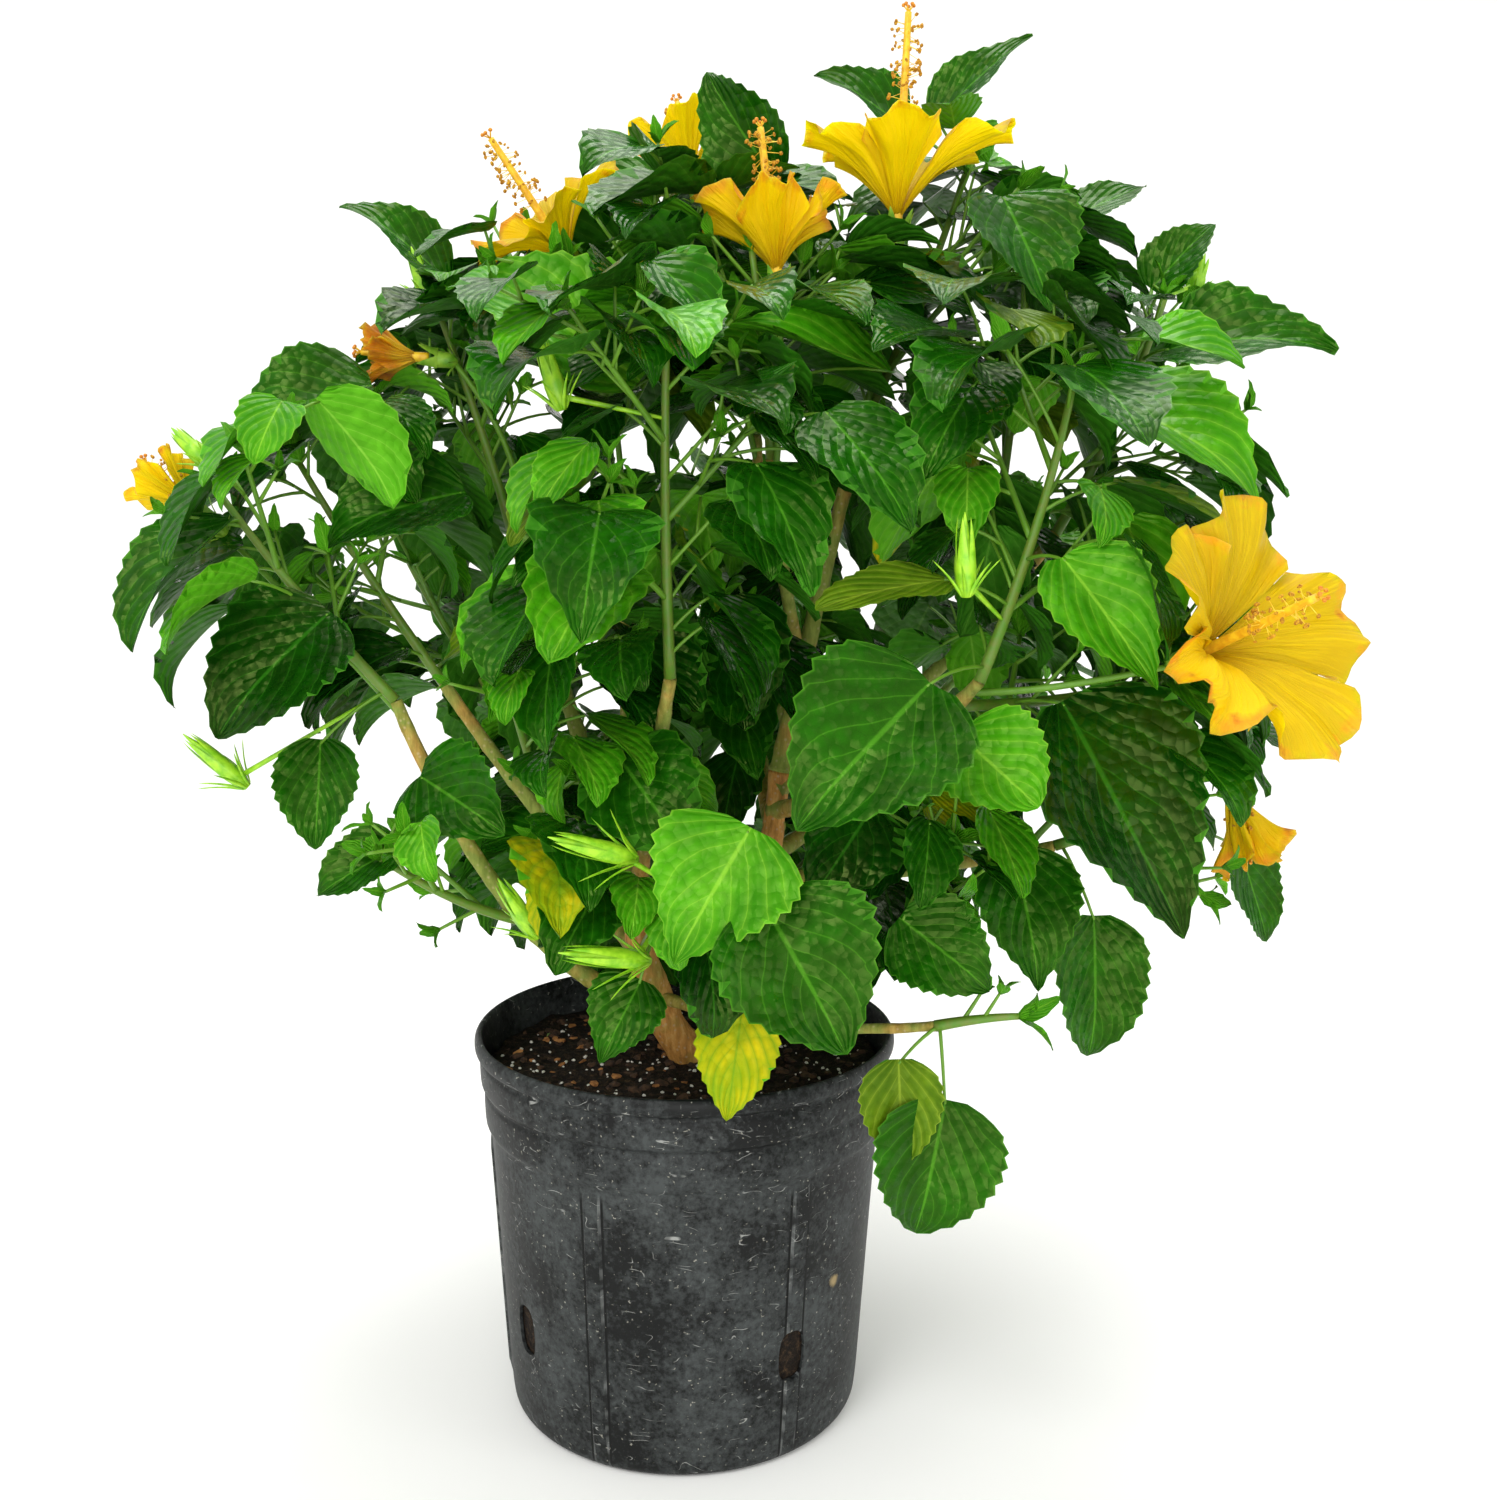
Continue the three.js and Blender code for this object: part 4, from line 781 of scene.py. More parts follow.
def place_leaf(start, aim, turn, traits, rule):
    """A leaf that leaves a twig at `start`. Its blade hangs out and down from its stalk."""
    length, petiole, roll, droop, curl = traits
    side = turned(square_to(aim), aim, turn)
    way = unit(aim * rule["onward"] + side + outward(start) * rule["outward"] + UP * rule["lift"])
    base = start + way * petiole
    level = way + outward(base) * rule["swing"]
    level[2] = 0
    level = unit(level)
    set_off = level * math.cos(droop) - UP * math.sin(droop)
    face = UP + outward(base) * rule["lean"] + np.cross(set_off, UP) * roll
    leaf = make_leaf(base, set_off, face, length, length * LEAF_WIDTH, curl)
    return leaf, make_run(start, base + set_off * STALK_SUNK, [0, 0, 0], STALK_RADII)


def grow_leaves(mass, twigs, rule, closer=1.0):
    """Leaves leave each twig in turn round it, and one that can't find room is skipped."""
    dice, sunk = mass["dice"], math.ceil(2 * STALK_SUNK / TWIG_STEP)
    for shoot, (run, bare) in enumerate(twigs):
        count = math.floor(run["length"] * (1 - bare) / dice.between(rule["spacing"]) + 0.5)
        turn = dice.between([0, 360])
        for index in range(1, count + 1):
            share, last = bare + (1 - bare) * index / count, index == count
            start, aim = points_on(run, share), aim_on(run, share)
            young = rule["youngest"] if last else 1
            length = mass["leaf"] * dice.between(rule["lengths"]) * young
            petiole = length * dice.between(rule["petiole"])
            roll = dice.between(rule["roll"])
            droop = dice.between(rule["droop"]) - max(0, start[2] - rule["high"]) * rule["flatter"]
            curl = dice.between(rule["curl"])
            turn += SPIRAL
            for attempt in range(rule["tries"]):
                traits = (length, petiole * (1 - rule["shrink"] * attempt), roll, droop, curl)
                leaf, stalk = place_leaf(start, aim, turn + rule["retry"] * attempt, traits, rule)
                blade, blade_reach = spread_points(leaf)
                if np.linalg.norm(blade - middle_of(mass), axis=1).max() >= mass["space"]:
                    continue
                rod, rod_reach = (part[:-sunk] for part in twig_points(stalk, LEAVING["stalk"]))
                at, reach = np.concatenate([blade, rod]), np.concatenate([blade_reach, rod_reach])
                tip = blade_points(leaf, [1.0], [0.0])
                fits = closer == 1 or (is_in_box(tip) and not hides_a_stem(blade)
                                       and not out_of_view(blade).any())
                if (fits and is_in_crown(blade) and is_outside_pot(at, reach)
                        and room_taken.is_clear(at, reach, mass["owner"], closer)):
                    room_taken.take(at, reach, mass["owner"])
                    mass["leaves"].append({"leaf": leaf, "stalk": stalk, "shoot": shoot,
                                           "last": last})
                    break


# %% First round: the CAD model's own twigs and leaves
# The greens of the leaves that stand out, in their table's order: deep, mid, bright, olive, yellow.
SHOW_GREENS = "MDMMMMMMBMMBMMMMMMBBMODBMMMMMBMYMO"
for number, mass in enumerate(MASSES):
    mass.update(number=number, owner=owner_of(mass["name"]), dice=Dice(number + 1))
    mass.update(leaves=[], buds=[])
    limb = limb_runs[mass["on"]]
    start = points_on(limb, mass["at"]) + (aim_on(limb, 1) * SEAT if mass["at"] == 1 else 0)
    stem = make_run(start, mass["tip"], mass["bow"], STEM_RADII)
    mass["twigs"] = [(stem, 0)]
    if mass["name"] in SHOWN_RUNS:
        shown_lines.append(points_on(stem, np.linspace(SHOWN_RUNS[mass["name"]], 0.85, 24)))
    room_taken.take(*twig_points(stem, LEAVING["stem"]), mass["owner"])
for mass in MASSES:
    for number, row in enumerate(SHOW_LEAVES):
        if row["mass"] != mass["name"]:
            continue
        leaf = leaf_between(row)
        stalk = stalk_to(mass, leaf["base"], leaf["aim"])
        mass["leaves"].append({"leaf": leaf, "stalk": stalk, "shoot": 0, "last": False,
                               "show": True, "green": SHOW_GREENS[number]})
        room_taken.take(*spread_points(leaf), mass["owner"])
        room_taken.take(*twig_points(stalk, LEAVING["stalk"]), mass["owner"])
    for row in (bud for bud in BUDS if bud["mass"] == mass["name"]):
        bud = make_run(row["base"], row["tip"], [0, 0, 0], [6.5, 6.5])
        stalk = stalk_to(mass, bud["start"], aim_on(bud, 0))
        mass["buds"].append({"bud": bud, "stalk": stalk})
        room_taken.take(*twig_points(bud), mass["owner"])
        room_taken.take(*twig_points(stalk, LEAVING["stalk"]), mass["owner"])
for mass in MASSES:
    mass["twigs"] += grow_shoots(mass, [mass["twigs"][0][0]], mass["shoots"], SHOOT, SHOOT_RADII)
for mass in MASSES:
    grow_leaves(mass, mass["twigs"], LEAF)
coarse = sum(len(mass["leaves"]) for mass in MASSES)
print("first round:", coarse, "leaves")


def keeps_the_view_open(leaf):
    """Whether a blade leaves the openings, the outline and the stems that show as they are."""
    blade, _ = spread_points(leaf)
    return out_of_view(blade).mean() < 0.3 and not hides_a_stem(blade)


for mass in MASSES:
    mass["leaves"] = [item for item in mass["leaves"]
                      if item.get("show") or keeps_the_view_open(item["leaf"])]

# %% Second round: finer twigs and smaller leaves
for mass in MASSES:
    parents = [run for run, _ in mass["twigs"]]
    mass["fine_twigs"] = grow_shoots(mass, parents, FINE_PER_TWIG, FINE_SHOOT, FINE_RADII,
                                     FINE_CLOSER)
kept = sum(len(mass["leaves"]) for mass in MASSES)
for mass in MASSES:
    grow_leaves(mass, mass["fine_twigs"] + mass["twigs"], FINE_LEAF, FINE_CLOSER)
total = sum(len(mass["leaves"]) for mass in MASSES)
fine = sum(len(mass["fine_twigs"]) for mass in MASSES)
print("kept:", kept, "leaves; second round:", total - kept, "leaves and", fine, "fine twigs")

# %% [markdown]
# ## Sheets and tubes
#
# Almost everything on a plant is either a thin closed sheet (a leaf, a petal) or a tube that
# tapers (a limb, a stalk). One builder for each keeps the meshes sound: a sheet's two faces share
# one rim, so it is closed, and a tube ends in caps.
#
# Many small parts go into one mesh, because an object for each leaf would be slow to handle.

# %% Collecting parts into one mesh
class Basket:
    """Gathers small meshes, in millimetres, and makes one Blender mesh of them in metres."""

    def __init__(self):
        self.points, self.faces, self.slots, self.uvs, self.ages, self.rims = [], [], [], [], [], []
        self.count = 0

    def add(self, points, faces, slots, uvs=None, age=0.0, rim=None):
        """`slots` is one material number, or one for each face. `age` may be one for each point."""
        points = np.asarray(points).reshape(-1, 3)
        self.points.append(points)
        self.faces += [tuple(int(i) + self.count for i in face) for face in faces]
        self.slots.append(np.broadcast_to(slots, len(faces)))
        self.uvs.append(np.zeros((len(points), 2)) if uvs is None else uvs)
        self.ages.append(np.broadcast_to(np.asarray(age, float), len(points)))
        self.rims.append(np.zeros(len(points), bool) if rim is None else rim)
        self.count += len(points)

    def piece(self, name, materials, slot, replaced):
        """The finished piece, riding on the plant and standing for its CAD nodes."""
        mesh = bpy.data.meshes.new(name)
        mesh.from_pydata(np.concatenate(self.points) * MM, [], self.faces)
        mesh.polygons.foreach_set("material_index", np.concatenate(self.slots).astype(np.int32))
        corners = np.zeros(len(mesh.loops), np.int32)
        mesh.loops.foreach_get("vertex_index", corners)
        uvs = np.concatenate(self.uvs)[corners].ravel()
        mesh.uv_layers.new(name="UVMap").data.foreach_set("uv", uvs)
        ages = mesh.attributes.new("age", "FLOAT", "POINT")
        ages.data.foreach_set("value", np.concatenate(self.ages).astype(np.float32))
        mesh.shade_smooth()
        ends = np.zeros(len(mesh.edges) * 2, np.int32)
        mesh.edges.foreach_get("vertices", ends)
        rims = np.concatenate(self.rims)[ends.reshape(-1, 2)].all(axis=1)
        mesh.attributes.new("sharp_edge", "BOOLEAN", "EDGE").data.foreach_set("value", rims)
        return finished(bpy.data.objects.new(name, mesh), materials, replaced)


def finished(piece, materials, replaced):
    """Links a piece, dresses it, hangs it on the plant's root body and hides the CAD nodes that it
    replaces.
    """
    if piece.name not in bpy.context.scene.collection.objects:
        bpy.context.scene.collection.objects.link(piece)
    chosen = np.zeros(len(piece.data.polygons), np.int32)
    piece.data.polygons.foreach_get("material_index", chosen)
    piece.data.materials.clear()  # this sets every face back to the first material
    for material in materials:
        piece.data.materials.append(material)
    piece.data.polygons.foreach_set("material_index", chosen)
    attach(piece, "root")
    if replaced:
        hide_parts(*replaced)
    piece.data.calc_loop_triangles()
    print(piece.name, len(piece.data.loop_triangles), "triangles")
    return piece


# %% Sheets
sheet_cache = {}


def sheet_layout(rows, columns):
    """Faces, rim flags and UVs of a closed sheet, the same for every sheet of its size."""
    if (rows, columns) not in sheet_cache:
        top = np.arange(rows * columns).reshape(rows, columns)
        inner = np.zeros((rows, columns), bool)
        inner[1:-1, 1:-1] = True
        bottom = top.copy()
        bottom[inner] = rows * columns + np.arange(inner.sum())
        quads = [np.stack([g[:-1, :-1], g[:-1, 1:], g[1:, 1:], g[1:, :-1]], -1).reshape(-1, 4)
                 for g in (top, bottom)]
        u, v = np.meshgrid(np.linspace(0, 1, columns), np.linspace(0, 1, rows))
        uvs = np.stack([u, v], -1).reshape(-1, 2)
        rim = np.concatenate([~inner.ravel(), np.zeros(inner.sum(), bool)])
        sheet_cache[rows, columns] = (np.concatenate([quads[0], quads[1][:, ::-1]]), rim, inner,
                                      np.concatenate([uvs, uvs[inner.ravel()]]), len(quads[0]))
    return sheet_cache[rows, columns]


def add_sheet(basket, grid, thick, top_slot, bottom_slot):
    """A closed sheet on a grid of points that run from base to tip and from left to right."""
    faces, rim, inner, uvs, tops = sheet_layout(*grid.shape[:2])
    along, across = np.gradient(grid, axis=0), np.gradient(grid, axis=1)
    normals = np.cross(across, along)
    normals /= np.linalg.norm(normals, axis=2, keepdims=True) + 1e-9
    lifted = grid + normals * (inner[..., None] * thick / 2)
    points = np.concatenate([lifted.reshape(-1, 3), (grid - normals * thick / 2)[inner]])
    slots = np.full(len(faces), bottom_slot)
    slots[:tops] = top_slot
    basket.add(points, faces, slots, uvs, rim=rim)


# %% Tubes
def ring_quads(rows, count):
    """The points' numbers in rings, their neighbours' numbers, and the faces between the rings."""
    grid = np.arange(rows * count).reshape(rows, count)
    near = np.roll(grid, -1, axis=1)
    return grid, near, np.stack([grid[:-1], grid[1:], near[1:], near[:-1]], -1).reshape(-1, 4)


OUTWARD = [0, 3, 2, 1]  # turns those faces over, where rings run from the foot up


def mesh_of(name, points, faces):
    """A mesh from points in millimetres."""
    mesh = bpy.data.meshes.new(name)
    mesh.from_pydata(np.asarray(points) * MM, [], faces)
    return mesh


def add_tube(basket, centres, radii, side, sides, slot, age=0.0, bumps=None):
    """A closed tube round a line of points. `bumps` widens each ring's points."""
    centres, count = np.asarray(centres), len(centres)
    aims = np.gradient(centres, axis=0)
    aims /= np.linalg.norm(aims, axis=1, keepdims=True)
    over = np.cross(side, aims)
    over /= np.linalg.norm(over, axis=1, keepdims=True)
    level = np.cross(aims, over)
    angle = 2 * math.pi * np.arange(sides) / sides
    wide = np.broadcast_to(np.asarray(radii, float)[:, None], (count, sides))
    if bumps is not None:
        wide = wide + bumps
    rings = (centres[:, None] + level[:, None] * (np.cos(angle)[:, None] * wide[..., None])
             + over[:, None] * (np.sin(angle)[:, None] * wide[..., None]))
    grid, _, quads = ring_quads(count, sides)
    faces = [tuple(quad) for quad in quads] + [tuple(grid[0]), tuple(grid[-1][::-1])]
    u, v = np.meshgrid(angle / (2 * math.pi), np.linspace(0, 1, count))
    ages = np.repeat(age, sides) if np.ndim(age) else age
    basket.add(rings, faces, slot, np.stack([u, v], -1).reshape(-1, 2), ages)


def add_run(basket, run, radii, sides, steps, slot, age=0.0, shares=(0.0, 1.0)):
    """A plain tube on part of a run."""
    t = np.linspace(*shares, steps + 1)
    add_tube(basket, points_on(run, t), np.interp(t, [0, 1], radii), run["side"], sides, slot, age)


# %% [markdown]
# ## Leaves
#
# A hibiscus leaf is a broad pointed oval with coarse forward-pointing teeth. It folds a little
# along its midrib, its margins wave, and it bends down towards the tip. Each leaf here is a
# closed sheet of a few dozen faces. The five greens are plain colours dealt out by shoot: the
# youngest at the tips are bright, and a few are on their way out and have yellowed. Leaves high
# in the crown and at its front are dealt the brighter greens more often, and those low and at
# the back the deep one: that is painted light and shade.

# %% Leaf sheets
BASE_ROUND = 0.44  # below 1 a blade's base is round


def leaf_half(along, drawn):
    """Half a blade's width: round at the base, widest at a third, and `drawn` out at the tip."""
    widest = BASE_ROUND / (BASE_ROUND + drawn)
    return 0.5 * (along / widest) ** BASE_ROUND * ((1 - along) / (1 - widest)) ** drawn


def add_leaf(basket, leaf, rows, columns, top_slot, bottom_slot, dice, slimness=(0.8, 1.0)):
    """A blade that is toothed on every second row of its rim, folded, waved and nodding."""
    step = np.arange(rows + 1)
    along = step / rows
    half = leaf_half(np.clip(along, 0.012, 0.996), dice.between([0.75, 1.2]))
    half = half * dice.between(slimness)
    tooth = (step % 2) * (along > 0.12) * (along < 0.97)
    across = np.linspace(-1, 1, columns + 1)
    on_rim = abs(across) > 0.99
    spread = half[:, None] * across * (1 + on_rim * (0.075 * tooth[:, None] - 0.02))
    place = along[:, None] + on_rim * tooth[:, None] * 0.3 / rows
    wave, phase = leaf["length"] * dice.between([0.012, 0.035]), dice.between([0, 6.28])
    fold = dice.between([0.08, 0.45])
    nod = leaf["length"] * dice.between([0.0, 0.16])
    ripple = np.sin(place * dice.between([7, 12]) + phase + (across > 0) * 2.1)
    lift = (abs(spread) * leaf["width"] * fold + wave * ripple * across ** 2
            - leaf["length"] * 0.03 * np.sin(along[:, None] * math.pi) * (1 - across ** 2)
            - nod * np.maximum(0, along[:, None] - 0.55) ** 2 * 4)
    add_sheet(basket, blade_points(leaf, place, spread, lift), 0.5, top_slot, bottom_slot)


def add_stalk(basket, stalk, leaf, slot):
    """A leaf's stalk, which rises a little before it reaches the blade."""
    end = leaf["base"] + leaf["aim"] * 2.5
    rise = UP * np.linalg.norm(end - stalk["start"]) * 0.12
    curved = make_run(stalk["start"], end, rise, stalk["radii"])
    add_run(basket, curved, [1.15, 0.85], 5, 5, slot, 0.15)


# %% [markdown]
# ## Leaf and twig finishes
#
# A hibiscus leaf has a waxy skin, so its upper side is glossy and mirrors a pale sky in small
# broken glints. The skin is quilted: it rises between the side veins. The veins are paler than
# the blade, and the underside is matt and lighter. All of that follows the blade, so the
# patterns read the leaf's own UV map, where u runs across and v along.

# %% Leaf materials
VEIN_PAIRS = 5.5  # side veins along a blade
VEIN_LEAN = 0.62  # how far up they run by the time they reach the rim, as a share of the length
PUCKER_MM = 6.5  # the swellings between the finest veins, drawn about twice as wide as real ones


def leaf_material(name, blade, shade, vein, roughness, halo):
    """Living leaf: waxy skin over green flesh, quilted between pale veins.

    The eye gets broken glints from the puckers, a drift from `blade` to `shade` in patches of
    about 25 mm, painted shade that darkens the flesh towards `shade` in the creases between the
    puckers, and veins that fade into the flesh beside them as far as `halo` says.
    """
    material, tree, shader = new_material(name, Specular_IOR_Level=0.28,
                                          Specular_Tint=(0.75, 1.0, 0.25, 1.0))
    uv = add(tree, "UVMap", uv_map="UVMap")
    place = object_place(tree)
    parts = tree.nodes.new("ShaderNodeSeparateXYZ")
    tree.links.new(uv, parts.inputs[0])
    u, v = parts.outputs[0], parts.outputs[1]
    centred = add(tree, "Math", {0: u, 1: 2.0, 2: -1.0}, operation="MULTIPLY_ADD")
    aside = add(tree, "Math", {0: centred}, operation="ABSOLUTE")
    # Side veins: lines where v, less a lean that grows with the distance from the midrib, is whole.
    wander = add(tree, "TexNoise", {"Vector": place, "Scale": 28.0, "Detail": 1.0})
    lean = add(tree, "Math", {0: aside, 1: -VEIN_LEAN * VEIN_PAIRS, 2: wander},
               operation="MULTIPLY_ADD")
    line = add(tree, "Math", {0: v, 1: VEIN_PAIRS, 2: lean}, operation="MULTIPLY_ADD")
    dome = add(tree, "Math", {0: line, 1: 0.5}, operation="PINGPONG")
    side_vein = add(tree, "MapRange", {0: dome, 1: 0.0, 2: 0.05, 3: 0.55, 4: 0.0},
                    interpolation_type="SMOOTHSTEP")
    midrib = add(tree, "MapRange", {0: aside, 1: 0.012, 2: 0.045, 3: 1.0, 4: 0.0},
                 interpolation_type="SMOOTHSTEP")
    veins = add(tree, "Math", {0: side_vein, 1: midrib}, operation="MAXIMUM")
    patches = add(tree, "TexNoise", {"Vector": place, "Scale": 38.0, "Detail": 3.0})
    patchy = add(tree, "MapRange", {0: patches, 1: 0.36, 2: 0.64})
    flesh = add(tree, "Mix", {0: patchy, 6: blade, 7: shade}, data_type="RGBA")
    # Painted shade: the flesh darkens towards `shade` at the edges of the pucker cells, the creases
    # between the swellings.
    cells = add(tree, "TexVoronoi", {"Vector": place, "Scale": 1000 / PUCKER_MM})
    painted_crease_shade = add(tree, "MapRange", {0: cells, 1: 0.36, 2: 0.76, 3: 0.0, 4: 0.55})
    crease_shaded = add(tree, "Mix", {0: painted_crease_shade, 6: flesh, 7: shade}, data_type="RGBA")
    nearest = add(tree, "Math", {0: dome, 1: aside}, operation="MINIMUM")
    beside = add(tree, "MapRange", {0: nearest, 1: 0.0, 2: 0.3, 3: halo, 4: 0.0})
    haloed = add(tree, "Mix", {0: beside, 6: crease_shaded, 7: vein}, data_type="RGBA")
    strength = add(tree, "Math", {0: veins, 1: 0.46}, operation="MULTIPLY")
    veined = add(tree, "Mix", {0: strength, 6: haloed, 7: vein}, data_type="RGBA")
    margin = add(tree, "MapRange", {0: aside, 1: 0.965, 2: 1.0, 3: 0.0, 4: 0.45})
    edged = add(tree, "Mix", {0: margin, 6: veined, 7: vein}, data_type="RGBA")
    gloss = add(tree, "MapRange", {0: patches, 1: 0.3, 2: 0.7, 3: roughness - 0.05,
                                             4: roughness + 0.08})
    tree.links.new(gloss, shader.inputs["Roughness"])
    puckers = add(tree, "Math", {0: cells, 1: -0.9}, operation="MULTIPLY")
    relief = add(tree, "Math", {0: dome, 1: 0.9, 2: puckers}, operation="MULTIPLY_ADD")
    finish_surface(tree, shader, edged, relief, 1.8, 0.6)
    return material


# The deep green, dealt to leaves low and at the back as painted shade, is the glossiest. The
# bright green, for young leaves and as painted light high up and in front, and the faded and
# under sides are paler and duller.
LEAF_FINISHES = [leaf_material(*row) for row in (
    ("waxy_leaf_deep", "#0a3e03", "#052802", "#347c1a", 0.23, 0.05),
    ("waxy_leaf_mid", "#165605", "#0b3e02", "#529a22", 0.25, 0.06),
    ("waxy_leaf_bright", "#46960e", "#2c7806", "#92cc3a", 0.3, 0.15),
    ("waxy_leaf_olive", "#5c7c0e", "#3e6008", "#9ab034", 0.38, 0.2),
    ("waxy_leaf_yellowed", "#c8b80c", "#869c0a", "#5a8c10", 0.42, 0.5),
    ("matt_leaf_underside", "#2e7412", "#225e0a", "#609c32", 0.55, 0.1),
    ("matt_leaf_underside_bright", "#5cae1c", "#469610", "#94d048", 0.5, 0.1),
)]
DEEP, MID, BRIGHT, OLIVE, YELLOWED, UNDER, UNDER_BRIGHT = range(7)
print("leaf finishes:", ", ".join(material.name for material in LEAF_FINISHES))

# %% Twig material: young green bark
# Bark grown this year, smooth and still green. It gives the eye a soft gloss and a slow change to
# brown on the older twigs, which `age` says for each point of the mesh.
twig_green, tree, shader = new_material("young_green_bark", Roughness=0.5)
tree.nodes.new("ShaderNodeAttribute").attribute_name = "age"
age = tree.nodes[-1].outputs["Fac"]
grain = add(tree, "TexNoise", {"Vector": object_place(tree), "Scale": 220.0, "Detail": 3.0})
blend = add(tree, "Math", {0: grain, 1: 0.45, 2: age}, operation="MULTIPLY_ADD")
colour = add(tree, "ValToRGB", {0: blend},
             stops=[(0.2, "#6a9c22"), (0.6, "#56861c"), (1.0, "#86743a")])
finish_surface(tree, shader, colour, grain, 0.25, 0.6)
print("twigs:", twig_green.name)

# %% Dealing out the leaves
GREENS = dict(zip("DMBOY", (DEEP, MID, BRIGHT, OLIVE, YELLOWED)))
# Where old leaves have faded to yellow inside the crown: across and level, as seen from the front.
FADED_AT = np.array([[-89, 334], [-86, 366], [174, 372], [196, 585]])
FADED_REACH = 16


def finish_of(mass, item, dice):
    """The green of a leaf: one for each shoot, brighter at the shoot's tip, and painted lighter
    high up and at the front.
    """
    leaf = item["leaf"]
    seen = as_seen(leaf["base"][None] + leaf["aim"] * leaf["length"] / 2)
    if leaf["base"][1] < 10 and (np.linalg.norm(seen - FADED_AT, axis=1) < FADED_REACH).any():
        return YELLOWED
    throw = dice.between([0, 1])
    if item["last"]:
        return BRIGHT if throw < 0.42 else MID
    if throw < 0.012:
        return YELLOWED
    if throw < 0.06:
        return OLIVE
    # Painted light and shade: leaves high in the crown and at its front get brighter greens, those
    # low and at the back deeper ones.
    lit = 0.1 + 0.35 * (leaf["base"][2] > 520) + 0.2 * (leaf["base"][1] < -60)
    shoot_green = Dice(mass["number"] * 40 + item["shoot"] + 7).between([0, 1])
    shade = 0.6 * shoot_green + 0.4 * dice.between([0, 1])
    return BRIGHT if shade < lit * 0.45 else MID if shade < 0.25 + lit else DEEP


def add_tuft(basket, run, dice, size):
    """The young leaves at a shoot's tip, still narrow and pointing onwards."""
    aim = aim_on(run, 1)
    start = dice.between([0, 360])
    for index in range(3):
        side = turned(square_to(aim), aim, start + SPIRAL * index)
        way = unit(aim + side * (0.3 + 0.3 * index) + UP * 0.25)
        length = size * dice.between([0.6, 1.1])
        if not is_in_box(run["tip"] + way * length):
            continue
        leaf = make_leaf(run["tip"] - aim * 0.5, way, aim - side, length, length * 0.45, 0.5)
        add_leaf(basket, leaf, 6, 2, BRIGHT, UNDER_BRIGHT, dice)


def leaf_pieces():
    """Leaves, sorted into three pieces by where they stand."""
    baskets = {"leaves_left": Basket(), "leaves_right": Basket(), "leaves_back": Basket()}
    replaced = {name: [] for name in baskets}
    twigs = Basket()
    for mass in MASSES:
        dice = Dice(mass["number"] + 500)
        x, y, _ = middle_of(mass)
        home = "leaves_back" if y > 90 else "leaves_left" if x < 20 else "leaves_right"
        replaced[home].append(mass["name"])
        for item in mass["leaves"]:
            if item.get("show"):
                finish, rows, columns, slimness = GREENS[item["green"]], 20, 8, (0.92, 1.02)
            else:
                finish, rows, columns, slimness = finish_of(mass, item, dice), 12, 4, (0.74, 0.96)
            under = UNDER_BRIGHT if finish in (BRIGHT, YELLOWED) else UNDER
            add_leaf(baskets[home], item["leaf"], rows, columns, finish, under, dice, slimness)
            add_stalk(twigs, item["stalk"], item["leaf"], 0)
        for number, (run, _) in enumerate(mass["twigs"]):
            radii = [3.4, 1.9] if number == 0 else [1.9, 1.2]
            add_run(twigs, run, radii, 8, 10, 0, 0.45 if number == 0 else 0.25)
            add_tuft(baskets[home], run, dice, 26)
        for run, _ in mass["fine_twigs"]:
            add_run(twigs, run, FINE_RADII, 6, 5, 0, 0.1)
            add_tuft(baskets[home], run, dice, 17)
    for name, basket in baskets.items():
        basket.piece(name, LEAF_FINISHES, "foliage", replaced[name])
    for flower in FLOWERS:
        add_run(twigs, flower["twig"], [2.2, 1.7], 8, 10, 0, 0.2)
    twigs.piece("green_twigs", [twig_green], "foliage", [mass["name"] for mass in MASSES])


leaf_pieces()

# %% [markdown]
# ## Bark
#
# A hibiscus's trunk is pale tan with fine cracks along it, small raised pores and rings where
# old leaves fell. Its boughs are younger and still partly green. The relief is in the mesh, so
# it shows along the outline too: each ring of points is pushed in and out by noise that is
# stretched along the limb.

# %% Limbs with relief
RING_STEP = 2.5  # mm from one ring of points to the next
NODE_STEP = 26  # mm from one leaf scar's ring to the next


def add_limb(basket, run, flare, sides, age):
    """A limb with a widened foot whose rings follow a cracked, knobbly surface."""
    count = max(12, int(run["length"] / RING_STEP))
    shares = np.linspace(0, 1, count)
    centres = points_on(run, shares)
    radii = radius_on(run, shares)
    foot = shares * run["length"] / (radii[0] * 2.2)
    radii = radii * (1 + (flare - 1) * np.maximum(0, 1 - foot) ** 2)
    angle = 2 * math.pi * np.arange(sides) / sides
    bumps = np.zeros((count, sides))
    for ring in range(count):
        level = shares[ring] * run["length"]
        along = Vector((0, 0, level))
        ridge = 0.35 * math.exp(-(level % NODE_STEP - NODE_STEP / 2) ** 2 / 6)
        for side in range(sides):
            around = Vector((math.cos(angle[side]), math.sin(angle[side]), 0)) * radii[ring]
            lumps = noise.noise((around * 0.5 + along) * 0.07)
            cracks = noise.noise(around * 0.55 + along * 0.09)
            bumps[ring, side] = radii[ring] * (0.16 * lumps + 0.1 * cracks) + ridge
    add_tube(basket, centres, radii, run["side"], sides, 0, age + 0.12 * np.sin(shares * 9), bumps)


